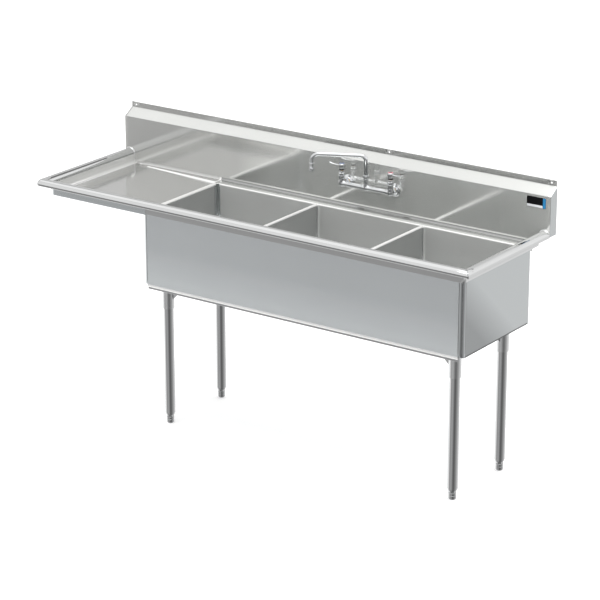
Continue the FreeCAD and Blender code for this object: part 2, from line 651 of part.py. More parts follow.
def drain_nut(x):
    """The ring nut that clamps the strainer from below, with four lugs for a wrench."""
    centre = Vector(x, BOWL_CENTRE_Y, TUB_BOTTOM - GASKET_HEIGHT - DRAIN_NUT_HEIGHT)
    ring = tube(DRAIN_FLANGE_RADIUS - 5, DRAIN_CUP_RADIUS, centre, DRAIN_NUT_HEIGHT)
    reach = DRAIN_FLANGE_RADIUS - 6
    for quarter in range(4):
        angle = math.radians(45 + 90 * quarter)
        place = centre + Vector(reach * math.cos(angle), reach * math.sin(angle), 0)
        ring = ring.fuse(rod(4.0, place, DRAIN_NUT_HEIGHT))
    return ring.removeSplitter()


def basket(x):
    """A lift-out cup with a rim, drain slots and a centre post with a knob."""
    centre = Vector(x, BOWL_CENTRE_Y, 0)
    inner = BASKET_RADIUS - BASKET_WALL
    floor_z = BASKET_SEAT - BASKET_DEPTH
    rim = tube(BASKET_FLANGE_RADIUS, inner, centre + UP * BASKET_SEAT, BASKET_WALL)
    cup = rod(BASKET_RADIUS, centre + UP * floor_z, BASKET_DEPTH)
    cup = cup.cut(rod(inner, centre + UP * (floor_z + BASKET_WALL), BASKET_DEPTH))
    cup = join(rim, cup)
    y = BOWL_CENTRE_Y
    for i in range(BASKET_SLOTS):
        slot = block(x + 14, x + 26, y - 2, y + 2, floor_z - 1, floor_z + BASKET_WALL + 1)
        slot.rotate(centre, UP, i * 360.0 / BASKET_SLOTS)
        cup = cup.cut(slot)
    post_start = centre + UP * (floor_z - STOPPER_HEIGHT)
    post = rod(BASKET_POST_RADIUS, post_start, BASKET_DEPTH + 12)
    knob = cone(7.0, 9.0, centre + UP * (BASKET_SEAT + 2), 8)
    return join(cup, post, knob)


def basket_stopper(x):
    """The rubber disc under the basket that seals the cup's outlet."""
    centre = Vector(x, BOWL_CENTRE_Y, BASKET_SEAT - BASKET_DEPTH - STOPPER_HEIGHT)
    disc = cone(24.0, 26.0, centre, STOPPER_HEIGHT)
    return disc.cut(rod(BASKET_POST_RADIUS, centre, STOPPER_HEIGHT))


# ---------------------------------------------------------------- write every node
def group(maker, places):
    return Part.Compound([maker(*place) for place in places])


def main():
    os.makedirs("parts", exist_ok=True)
    nodes = {
        "front_rim": front_rim(),
        "left_rim": side_rim(True),
        "right_rim": side_rim(False),
        "drainboard_pan": drainboard_pan(),
        "backsplash": backsplash(),
        "splash_cap_left": splash_cap(True),
        "splash_cap_right": splash_cap(False),
        "label": label(),
        "faucet_body": faucet_body(),
        "inlet_nuts": group(inlet_nut, [(x,) for x in INLETS_X]),
        "wall_flanges": group(wall_flange, [(x,) for x in INLETS_X]),
        "supply_shanks": group(shank, [(x,) for x in INLETS_X]),
        "shank_nuts": group(shank_nut, [(x,) for x in INLETS_X]),
        "valve_bonnets": group(bonnet, [(x,) for x in VALVES_X]),
        "swing_nut": swing_nut(),
        "spout": spout(),
        "spout_tip": spout_tip(),
    }
    tub, inside = tub_parts()
    nodes.update(tub)
    nodes["divider_left"] = divider(0, inside)
    nodes["divider_right"] = divider(1, inside)

    for side, x, outward in (("left", VALVES_X[0], -1), ("right", VALVES_X[1], 1)):
        nodes["valve_stem_" + side] = stem(x)
        nodes["handle_collar_" + side] = handle_collar(x)
        nodes["lever_handle_" + side] = lever_handle(x, outward)
        nodes["index_button_" + side] = index_button(x)

    legs = [(x, y) for x in LEG_X for y in LEG_Y]
    for name, place in zip(("front_left", "back_left", "front_right", "back_right"), legs):
        nodes["leg_socket_" + name] = leg_socket(*place)
        nodes["leg_tube_" + name] = leg_tube(*place)
        nodes["foot_" + name] = foot(*place)
    nodes["leg_set_screws"] = group(set_screw, legs)
    nodes["leg_inserts"] = group(leg_insert, legs)

    for name, x in zip(("left", "middle", "right"), BOWL_CENTRES):
        nodes["strainer_body_" + name] = strainer_body(x)
        nodes["basket_" + name] = basket(x)
        nodes["basket_stopper_" + name] = basket_stopper(x)
    nodes["drain_gaskets"] = group(drain_gasket, [(x,) for x in BOWL_CENTRES])
    nodes["drain_nuts"] = group(drain_nut, [(x,) for x in BOWL_CENTRES])

    for name, solid in nodes.items():
        save(name, solid)
    print(len(nodes), "nodes")


main()
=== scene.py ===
import bmesh
import bpy
import math
import random
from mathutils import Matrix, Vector


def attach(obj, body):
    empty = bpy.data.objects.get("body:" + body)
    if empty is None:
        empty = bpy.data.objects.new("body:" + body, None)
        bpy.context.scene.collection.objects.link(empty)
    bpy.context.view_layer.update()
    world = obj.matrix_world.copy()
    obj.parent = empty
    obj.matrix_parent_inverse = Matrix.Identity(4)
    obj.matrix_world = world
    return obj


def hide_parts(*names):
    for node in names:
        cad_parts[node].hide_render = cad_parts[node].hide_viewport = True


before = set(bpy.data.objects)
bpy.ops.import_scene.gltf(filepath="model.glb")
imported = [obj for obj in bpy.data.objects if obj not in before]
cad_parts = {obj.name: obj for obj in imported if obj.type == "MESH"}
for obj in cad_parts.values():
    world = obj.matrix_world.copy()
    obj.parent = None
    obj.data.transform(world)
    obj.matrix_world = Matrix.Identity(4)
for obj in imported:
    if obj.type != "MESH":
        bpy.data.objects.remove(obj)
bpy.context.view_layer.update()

MM = 0.001
LENGTH = 1930.0
DEPTH = 598.0
SHEET = 1.5
RIM_TOP = 904.0
RIM_LIP = 880.0
RIM_INSIDE = 883.0
RIM_WIDTH = 43.5
RIM_BOTTOM = 844.0
DECK = 848.0
BOWL_LEFT = 488.0
BOWL = 457.0
PITCH = 470.0
BOWL_FRONT = 45.0
BOWL_BACK = 505.5
BOWL_FLOOR = 567.5
SPLASH_FACE = 553.0
SPLASH_BEND = 1032.0
FLANGE_BOTTOM = 1060.0
SPLASH_TOP = 1082.0
FAUCET_X = 1169.0
FAUCET_Y = 515.0
FAUCET_Z = 945.0
VALVE_SPACING = 216.0
INLET_SPACING = 203.2
VALVE_TOP = 976.0
HUB_TOP = 981.0
COLLAR_BOTTOM = 996.0
HANDLE_BOTTOM = 1001.0
HANDLE_TOP = 1021.0
SPOUT_LEVEL = 1067.0
SPOUT_OUTLET = 999.0
SPOUT_REACH = 203.0
SPOUT_ANGLE = 206.0
TUB_BOTTOM = 566.0
TUB_LEFT = 486.5
TUB_RIGHT = 1886.5
TUB_CORNER = 18.0
LEGS = {"front_left": (548.0, 113.0), "back_left": (548.0, 438.0),
        "front_right": (1816.0, 113.0), "back_right": (1816.0, 438.0)}


# ---------------------------------------------------------------- mesh helpers
def at(x, y, z):
    """A point of the corner frame, in millimetres, as a point of the row frame, in metres."""
    return Vector(((x - LENGTH / 2) * MM, (y - DEPTH / 2) * MM, z * MM))


def finish_mesh(name, bm, material, body, nodes=(), sharp=35.0, merge=1e-6):
    bmesh.ops.remove_doubles(bm, verts=bm.verts, dist=merge)
    mesh = bpy.data.meshes.new(name)
    bm.to_mesh(mesh)
    bm.free()
    mesh.shade_smooth()
    mesh.set_sharp_from_angle(angle=math.radians(sharp))
    obj = bpy.data.objects.new(name, mesh)
    bpy.context.scene.collection.objects.link(obj)
    mesh.materials.append(material)
    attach(obj, body)
    if nodes:
        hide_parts(*nodes)
    return obj


def add_grid(bm, rows, closed=False, keep=None):
    """Quads between rows of points; closed joins each row's ends."""
    verts = [[bm.verts.new(p) for p in row] for row in rows]
    count = len(rows[0])
    for i in range(len(rows) - 1):
        for j in range(count if closed else count - 1):
            k = (j + 1) % count
            if keep is None or keep(i, j):
                bm.faces.new((verts[i][j], verts[i][k], verts[i + 1][k], verts[i + 1][j]))
    return verts


def fillet(points, radii, steps=8):
    """An open 2D outline with tangent arcs at its inner corners."""
    made = [points[0]]
    for before, corner, after, radius in zip(points, points[1:], points[2:], radii):
        if radius <= 0:
            made.append(corner)
            continue
        u = Vector(before) - Vector(corner)
        v = Vector(after) - Vector(corner)
        u.normalize()
        v.normalize()
        half = u.angle(v) / 2
        reach = radius / math.tan(half)
        bisector = (u + v).normalized()
        centre = Vector(corner) + bisector * (radius / math.sin(half))
        start = Vector(corner) + u * reach - centre
        end = Vector(corner) + v * reach - centre
        turn = math.atan2(start.x * end.y - start.y * end.x, start.dot(end))
        for i in range(steps + 1):
            a = turn * i / steps
            made.append((centre.x + start.x * math.cos(a) - start.y * math.sin(a),
                         centre.y + start.x * math.sin(a) + start.y * math.cos(a)))
    made.append(points[-1])
    return [tuple(p) for p in made]


def basis(axis):
    axis = Vector(axis).normalized()
    side = Vector((0, 0, 1)) if abs(axis.z) < 0.9 else Vector((1, 0, 0))
    u = axis.cross(side).normalized()
    return u, axis.cross(u).normalized(), axis


def add_lathe(bm, profile, origin, axis=(0, 0, 1), steps=48, caps=(True, True)):
    """A profile of (radius, distance along the axis), in millimetres, spun about an axis."""
    u, v, w = basis(axis)
    rows = []
    for radius, along in profile:
        ring = []
        for i in range(steps):
            a = 2 * math.pi * i / steps
            ring.append(origin + (u * math.cos(a) + v * math.sin(a)) * radius * MM + w * along * MM)
        rows.append(ring)
    verts = add_grid(bm, rows, closed=True)
    if caps[0]:
        bm.faces.new(verts[0][::-1])
    if caps[1]:
        bm.faces.new(verts[-1])


def add_hex(bm, flats, origin, axis, length, chamfer=1.2, bore=0.0, turn=0.0):
    """A six-sided nut with chamfered corners."""
    u, v, w = basis(axis)
    corner = flats / math.sqrt(3.0)
    rows = []
    for along, limit in ((0, flats / 2 - 0.4), (chamfer, corner), (length - chamfer, corner),
                         (length, flats / 2 - 0.4)):
        ring = []
        for i in range(48):
            a = 2 * math.pi * i / 48 + turn
            within = (a - turn) % (math.pi / 3) - math.pi / 6
            radius = min(flats / 2 / math.cos(within), limit)
            ring.append(origin + (u * math.cos(a) + v * math.sin(a)) * radius * MM + w * along * MM)
        rows.append(ring)
    verts = add_grid(bm, rows, closed=True)
    bm.faces.new(verts[0][::-1])
    bm.faces.new(verts[-1])


def thicken(obj, offset=-1.0, thickness=SHEET):
    """Sheet thickness, and normals that keep the flats flat beside their bends."""
    sheet = obj.modifiers.new("sheet", "SOLIDIFY")
    sheet.thickness = thickness * MM
    sheet.offset = offset
    keep_flat(obj)


def keep_flat(obj):
    flat = obj.modifiers.new("flat", "WEIGHTED_NORMAL")
    flat.keep_sharp = True
    flat.weight = 100


def face_towards(bm, direction):
    """Turns an open sheet so that most of it faces one way."""
    bmesh.ops.recalc_face_normals(bm, faces=bm.faces)
    if sum(f.normal.dot(Vector(direction)) * f.calc_area() for f in bm.faces) < 0:
        bmesh.ops.reverse_faces(bm, faces=bm.faces)


def face_material(obj, look, test):
    """Gives another material to the faces whose centre (corner frame, mm) and normal pass a test."""
    obj.data.materials.append(look)
    for face in obj.data.polygons:
        x, y, z = face.center
        if test(x / MM + LENGTH / 2, y / MM + DEPTH / 2, z / MM, face.normal):
            face.material_index = len(obj.data.materials) - 1


# ---------------------------------------------------------------- materials
def material(name, base=(0.6, 0.6, 0.6), metallic=0.0, roughness=0.4):
    made = bpy.data.materials.new(name)
    made.use_nodes = True
    shader = made.node_tree.nodes["Principled BSDF"]
    shader.inputs["Base Color"].default_value = (*base, 1)
    shader.inputs["Metallic"].default_value = metallic
    shader.inputs["Roughness"].default_value = roughness
    return made, made.node_tree, shader


def coordinates(tree, scale):
    place = tree.nodes.new("ShaderNodeTexCoord")
    mapping = tree.nodes.new("ShaderNodeMapping")
    mapping.inputs["Scale"].default_value = scale
    tree.links.new(place.outputs["Object"], mapping.inputs["Vector"])
    return mapping.outputs["Vector"]


def noise(tree, scale, detail=3.0, rough=0.5):
    node = tree.nodes.new("ShaderNodeTexNoise")
    node.inputs["Scale"].default_value = 1.0
    node.inputs["Detail"].default_value = detail
    node.inputs["Roughness"].default_value = rough
    tree.links.new(coordinates(tree, scale), node.inputs["Vector"])
    return node.outputs["Fac"]


def spread(tree, value, low, high, start=0.3, end=0.7):
    node = tree.nodes.new("ShaderNodeMapRange")
    node.inputs["From Min"].default_value = start
    node.inputs["From Max"].default_value = end
    node.inputs["To Min"].default_value = low
    node.inputs["To Max"].default_value = high
    tree.links.new(value, node.inputs["Value"])
    return node.outputs["Result"]


def mix_colours(tree, value, low, high):
    node = tree.nodes.new("ShaderNodeMix")
    node.data_type = "RGBA"
    node.inputs["A"].default_value = (*low, 1)
    node.inputs["B"].default_value = (*high, 1)
    tree.links.new(value, node.inputs["Factor"])
    return node.outputs["Result"]


def bump(tree, shader, height, strength, distance):
    node = tree.nodes.new("ShaderNodeBump")
    node.inputs["Strength"].default_value = strength
    node.inputs["Distance"].default_value = distance
    tree.links.new(height, node.inputs["Height"])
    tree.links.new(node.outputs["Normal"], shader.inputs["Normal"])
    return node


def metal(name, tone, roughness, grain=(8.0, 900.0, 900.0), spread_rough=0.05, wave=0.0,
          depth=0.00002, mottle=0.03, metallic=1.0):
    """Brushed or polished metal: streaks along a grain, faint mottling, and sheet that isn't quite flat."""
    made, tree, shader = material(name, tone, metallic, roughness)
    streaks = noise(tree, grain, 4.0, 0.6)
    clouds = noise(tree, (5.0, 5.0, 5.0), 2.0)
    low = tuple(c * (1 - mottle) for c in tone)
    high = tuple(min(1.0, c * (1 + mottle)) for c in tone)
    blend = tree.nodes.new("ShaderNodeMath")
    blend.operation = "ADD"
    tree.links.new(spread(tree, streaks, 0.0, 0.5), blend.inputs[0])
    tree.links.new(spread(tree, clouds, 0.0, 0.5), blend.inputs[1])
    tree.links.new(mix_colours(tree, blend.outputs["Value"], low, high), shader.inputs["Base Color"])
    tree.links.new(spread(tree, streaks, roughness - spread_rough, roughness + spread_rough),
                   shader.inputs["Roughness"])
    grain_bump = bump(tree, shader, streaks, 0.4, depth)
    if wave:
        swell = tree.nodes.new("ShaderNodeBump")
        swell.inputs["Strength"].default_value = 1.0
        swell.inputs["Distance"].default_value = wave
        tree.links.new(noise(tree, (3.0, 3.0, 3.0), 1.0), swell.inputs["Height"])
        tree.links.new(swell.outputs["Normal"], grain_bump.inputs["Normal"])
    return made


def plastic(name, tone, roughness, grain=700.0, strength=0.15):
    made, tree, shader = material(name, tone, 0.0, roughness)
    specks = noise(tree, (grain, grain, grain), 3.0)
    tree.links.new(spread(tree, specks, roughness - 0.06, roughness + 0.08), shader.inputs["Roughness"])
    low = tuple(c * 0.9 for c in tone)
    high = tuple(min(1.0, c * 1.12 + 0.002) for c in tone)
    tree.links.new(mix_colours(tree, noise(tree, (40.0, 40.0, 40.0)), low, high), shader.inputs["Base Color"])
    bump(tree, shader, specks, strength, 0.00005)
    return made


ALONG_X = (6.0, 900.0, 900.0)
ALONG_Y = (900.0, 6.0, 900.0)
ALONG_Z = (900.0, 900.0, 6.0)
deck_steel = metal("deck_steel", (0.56, 0.56, 0.55), 0.13, ALONG_X, metallic=0.88, depth=0.000006)
# Painted light: the splash sheet is brightened towards the right, over the bowls, by shade() below;
# bevel_steel is the same steel without it.
splash_painted_light = metal("splash_painted_light", (0.62, 0.625, 0.61), 0.10, ALONG_X, wave=0.00012, metallic=0.74,
                     depth=0.000006, spread_rough=0.02)
bevel_steel = metal("bevel_steel", (0.62, 0.625, 0.61), 0.10, ALONG_X, wave=0.00012, metallic=0.80,
                    depth=0.000006, spread_rough=0.02)
# Painted shade: a dark steel for the cove behind the bowls, where the splash meets the ledge.
painted_shade_cove = metal("painted_shade_cove", (0.36, 0.365, 0.36), 0.16, ALONG_X, metallic=0.85, depth=0.000006)
tub_steel = metal("tub_steel", (0.70, 0.73, 0.745), 0.22, ALONG_X, wave=0.0002, depth=0.000002,
                  mottle=0.012)
# Painted light and shade: a lighter copy of tub_steel for the front sheet; shade() below makes it lighter
# towards the bottom and a little darker near the top under the roll.
front_steel = metal("front_steel", (0.75, 0.78, 0.795), 0.22, ALONG_X, wave=0.0002, depth=0.000002,
                    mottle=0.012, metallic=0.9)
corner_steel = metal("corner_steel", (0.62, 0.64, 0.65), 0.10, ALONG_Z, depth=0.000006)
end_steel = metal("end_steel", (0.54, 0.56, 0.565), 0.24, ALONG_Y, depth=0.000001, mottle=0.006,
                  spread_rough=0.01)
shaded_end = metal("shaded_end", (0.54, 0.56, 0.565), 0.24, ALONG_Y, depth=0.000001, mottle=0.006,
                  spread_rough=0.01)
bowl_steel = metal("bowl_steel", (0.60, 0.61, 0.60), 0.10, ALONG_X, metallic=0.78, depth=0.000004)
bowl_side_steel = metal("bowl_side_steel", (0.55, 0.56, 0.555), 0.09, ALONG_Y, metallic=0.80, depth=0.000004)
# Painted light: a pale, less metallic steel that lightens the inner front walls of the bowls.
bowl_front_painted_light = metal("bowl_front_painted_light", (0.90, 0.90, 0.89), 0.16, ALONG_X, metallic=0.60,
                         depth=0.000004)
# Painted light: a pale, less metallic steel that lightens the inner walls at the drainboard's left end.
painted_light_wall = metal("painted_light_wall", (0.82, 0.82, 0.81), 0.14, ALONG_Y, metallic=0.60, depth=0.000006)
rim_steel = metal("rim_steel", (0.64, 0.645, 0.645), 0.08, ALONG_X, spread_rough=0.02, depth=0.000006)
rim_side_steel = metal("rim_side_steel", (0.64, 0.645, 0.645), 0.08, ALONG_Y, spread_rough=0.02,
                       depth=0.000006)
weld_steel = metal("weld_steel", (0.30, 0.31, 0.31), 0.35, (260.0, 260.0, 260.0), depth=0.0002)
# Painted highlight: a pale, less metallic steel that paints the bright highlight lines on the drainboard
# ridge and fold, the left corner cove, the ledge edge, the divider tops and the front hem's nose.
painted_highlight_steel = metal("painted_highlight_steel", (0.90, 0.90, 0.89), 0.18, (200.0, 200.0, 200.0), metallic=0.55,
                   depth=0.000006)
# Painted shade and reflection: a near-black steel for the shade line under the right end's fold and for the
# dark reflection in the handle screw's head.
painted_dark_steel = metal("painted_dark_steel", (0.12, 0.125, 0.125), 0.40, (260.0, 260.0, 260.0), depth=0.0001,
                   metallic=0.8)
leg_steel = metal("leg_steel", (0.60, 0.605, 0.61), 0.10, ALONG_Z)
socket_steel = metal("socket_steel", (0.74, 0.745, 0.75), 0.22, (400.0, 400.0, 400.0), depth=0.0001)
foot_steel = metal("foot_steel", (0.52, 0.525, 0.53), 0.22, (500.0, 500.0, 500.0))
drain_steel = metal("drain_steel", (0.55, 0.555, 0.555), 0.20, (300.0, 300.0, 300.0))
chrome = metal("chrome", (0.68, 0.69, 0.70), 0.04, (60.0, 60.0, 60.0), 0.02, depth=0.00001)
brass = metal("brass", (0.75, 0.55, 0.26), 0.28, (300.0, 300.0, 300.0))
zinc = metal("zinc", (0.48, 0.49, 0.50), 0.40, (200.0, 200.0, 200.0))
black_plastic = plastic("black_plastic", (0.012, 0.012, 0.013), 0.35)
blue_plastic = plastic("blue_plastic", (0.12, 0.16, 0.30), 0.30)
red_plastic = plastic("red_plastic", (0.60, 0.20, 0.24), 0.30)
rubber = plastic("rubber", (0.02, 0.02, 0.02), 0.6)
label_black = plastic("label_black", (0.004, 0.004, 0.005), 0.60)
label_blue = plastic("label_blue", (0.02, 0.24, 0.52), 0.35)
label_white = plastic("label_white", (0.78, 0.80, 0.82), 0.40)
label_black.node_tree.nodes["Principled BSDF"].inputs["Specular IOR Level"].default_value = 0.1


def shade(made, direction, start, end, low, high):
    """Paints light and shade on a sheet: scales its tone along a direction of the object, from one share to
    another.
    """
    tree = made.node_tree
    shader = tree.nodes["Principled BSDF"]
    tone = shader.inputs["Base Color"].links[0].from_socket
    place = tree.nodes.new("ShaderNodeTexCoord")
    along = tree.nodes.new("ShaderNodeVectorMath")
    along.operation = "DOT_PRODUCT"
    along.inputs[1].default_value = direction
    tree.links.new(place.outputs["Object"], along.inputs[0])
    fade = tree.nodes.new("ShaderNodeMapRange")
    fade.inputs["From Min"].default_value = start
    fade.inputs["From Max"].default_value = end
    fade.inputs["To Min"].default_value = low
    fade.inputs["To Max"].default_value = high
    tree.links.new(along.outputs["Value"], fade.inputs["Value"])
    scaled = tree.nodes.new("ShaderNodeVectorMath")
    scaled.operation = "SCALE"
    tree.links.new(tone, scaled.inputs[0])
    tree.links.new(fade.outputs["Result"], scaled.inputs["Scale"])
    tree.links.new(scaled.outputs["Vector"], shader.inputs["Base Color"])


# Painted shade: the right end is darker towards its front and its bottom.
shade(shaded_end, (0.0, 1.0, 1.1), 0.532, 0.742, 0.60, 1.0)
# Painted light and shade: the front sheet is lighter low down and a little darker near the top.
shade(front_steel, (0.0, 0.0, 1.0), 0.585, 0.725, 1.22, 0.98)
# Painted light: the splash gets up to 1.45 times its tone towards the right end.
shade(splash_painted_light, (1.0, 0.0, 0.0), -0.42, -0.24, 1.0, 1.45)
looks = {"sheet_steel": tub_steel, "rim_steel": rim_steel, "leg_steel": leg_steel,
         "socket_steel": socket_steel, "foot_steel": foot_steel, "chrome": chrome, "brass": brass,
         "black_plastic": black_plastic,
         "blue_plastic": blue_plastic, "red_plastic": red_plastic, "label_black": label_black,
         "rubber": rubber, "drain_steel": drain_steel, "zinc": zinc}
own = {"backsplash": splash_painted_light, "splash_cap_left": end_steel, "splash_cap_right": end_steel,
       "drainboard_pan": deck_steel, "tub_right_end": shaded_end, "tub_left_end": end_steel,
       "tub_front": front_steel, "tub_corners": corner_steel}
for node_name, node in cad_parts.items():
    for place in range(len(node.data.materials)):
        slot_name = node.data.materials[place].name.split(".")[0]
        node.data.materials[place] = own.get(node_name, looks.get(slot_name, tub_steel))


# ---------------------------------------------------------------- rolled rim
FLARE = 4.0


def rim_profile(bottom, flare=0.0):
    """Distance in from the outer edge, and height: wall, half-round roll, lip."""
    centre = RIM_TOP - RIM_WIDTH / 2
    radius = RIM_WIDTH / 2 + flare
    points = [(RIM_WIDTH + flare, bottom), (RIM_WIDTH + flare, (bottom + centre) / 2)]
    for i in range(37):
        a = math.pi * i / 36
        points.append((max(RIM_WIDTH / 2 + radius * math.cos(a), 0.0), centre + radius * math.sin(a)))
    points.append((0.0, RIM_LIP))
    return points


def rolled_rim():
    """Left side, rounded corner, front, mitred corner and right side, as one bent edge."""
    left_radius, right_radius = 22.0, 5.0
    over_pan = 862.0
    stations = []
    for i in range(7):
        depth = FLARE * i / 6
        flare = FLARE - math.sqrt(max(FLARE * FLARE - (FLARE - depth) ** 2, 0.0))
        stations.append(("left", SPLASH_FACE - depth, over_pan, flare))
    for y in (400.0, 250.0, 120.0, 60.0):
        stations.append(("left", y, over_pan, 0.0))
    for i in range(11):
        stations.append(("left_corner", 90.0 * i / 10, over_pan, 0.0))
    for x in (60.0, 150.0, 300.0, 473.5, 474.1, 700.0, 1000.0, 1300.0, 1600.0, 1800.0, 1870.0):
        stations.append(("front", x, over_pan if x < 473.8 else RIM_BOTTOM, 0.0))
    for i in range(7):
        stations.append(("right_corner", 90.0 * i / 6, RIM_BOTTOM, 0.0))
    for y in (60.0, 120.0, 250.0, 400.0):
        stations.append(("right", y, RIM_BOTTOM, 0.0))
    for i in range(6, -1, -1):
        depth = FLARE * i / 6
        flare = FLARE - math.sqrt(max(FLARE * FLARE - (FLARE - depth) ** 2, 0.0))
        stations.append(("right", SPLASH_FACE - depth, RIM_BOTTOM, flare))
    rows = []
    for kind, value, bottom, flare in stations:
        row = []
        for s, z in rim_profile(bottom, flare):
            if kind == "left":
                row.append(at(s, value, z))
            elif kind == "front":
                row.append(at(value, s, z))
            elif kind == "right":
                row.append(at(LENGTH - s, value, z))
            else:
                radius = left_radius if kind == "left_corner" else right_radius
                middle = max(radius, s)
                reach = max(radius - s, 0.0)
                a = math.radians(value)
                across, down = middle - reach * math.cos(a), middle - reach * math.sin(a)
                if kind == "right_corner":
                    across, down = LENGTH - (middle - reach * math.sin(a)), middle - reach * math.cos(a)
                row.append(at(across, down, z))
        rows.append(row)
    bm = bmesh.new()
    add_grid(bm, rows)
    rim = finish_mesh("rolled_rim", bm, rim_steel, "sink", ("front_rim", "left_rim", "right_rim"),
                      40.0)
    face_material(rim, rim_side_steel, lambda x, y, z, n: min(x, LENGTH - x) < y and y > RIM_WIDTH)
    # The rim's inner left wall gets the painted light.
    face_material(rim, painted_light_wall, lambda x, y, z, n: x < 50.0 and z < RIM_INSIDE and abs(n.x) > 0.9)
    thicken(rim, -1.0)


def weld_line(name, points, width, height):
    """A low ground weld bead that follows points on the surface, which come with their outward normals."""
    bm = bmesh.new()
    rows = []
    rand = random.Random(len(points))
    for i, (place, normal) in enumerate(points):
        ahead = points[min(i + 1, len(points) - 1)][0] - points[max(i - 1, 0)][0]
        side = ahead.normalized().cross(normal).normalized()
        lift = height * (0.75 + 0.5 * rand.random())
        rows.append([place + side * MM * width * t + normal * MM * (lift * (1 - t * t) - 0.05)
                     for t in (-1.0, -0.6, -0.2, 0.2, 0.6, 1.0)])
    add_grid(bm, rows)
    return finish_mesh(name, bm, weld_steel, "sink", (), 60.0)


def corner_weld():
    """The ground seam over the mitre of the roll at the right front corner."""
    centre = RIM_TOP - RIM_WIDTH / 2
    points = []
    for i in range(60):
        a = math.radians(-10 + 190 * i / 59)
        s = max(RIM_WIDTH / 2 * (1 - math.cos(a)), 0.0)
        z = centre + RIM_WIDTH / 2 * math.sin(a)
        inset = s if s > 5 else 5 - (5 - s) * 0.7071
        outward = Vector((math.cos(a) * 0.7071, -math.cos(a) * 0.7071, math.sin(a))).normalized()
        points.append((at(LENGTH - inset, inset, z), outward))
    weld_line("corner_weld", points, 1.3, 0.35)


# ---------------------------------------------------------------- drainboard
WALL = RIM_WIDTH + 0.2
COVE = 14.0
RIDGE_START = 461.0
RIDGE_TOP = 475.0
SPLASH_COVE = 9.9


def ease(t):
    t = min(max(t, 0.0), 1.0)
    return t * t * (3 - 2 * t)


def pan_height(x):
    """Height of the sloping floor, with the ridge that rises at its right edge."""
    slope = 846.0 - 6.0 * (x - RIM_WIDTH) / (RIDGE_TOP - RIM_WIDTH)
    return slope + (DECK - slope) * ease((x - RIDGE_START) / (RIDGE_TOP - RIDGE_START))


def fold_line(x):
    """Where the floor folds up to the strip in front of the splash, which widens to the right."""
    share = min(max((x - 100.0) / 366.0, 0.0), 1.0)
    return 539.0 - 20.0 * share


def board_height(x, y):
    base = pan_height(x)
    amount = ease((x - 62.0) / 60.0)
    return base + (DECK - base) * amount * ease((y - fold_line(x) + 4.0) / 8.0)


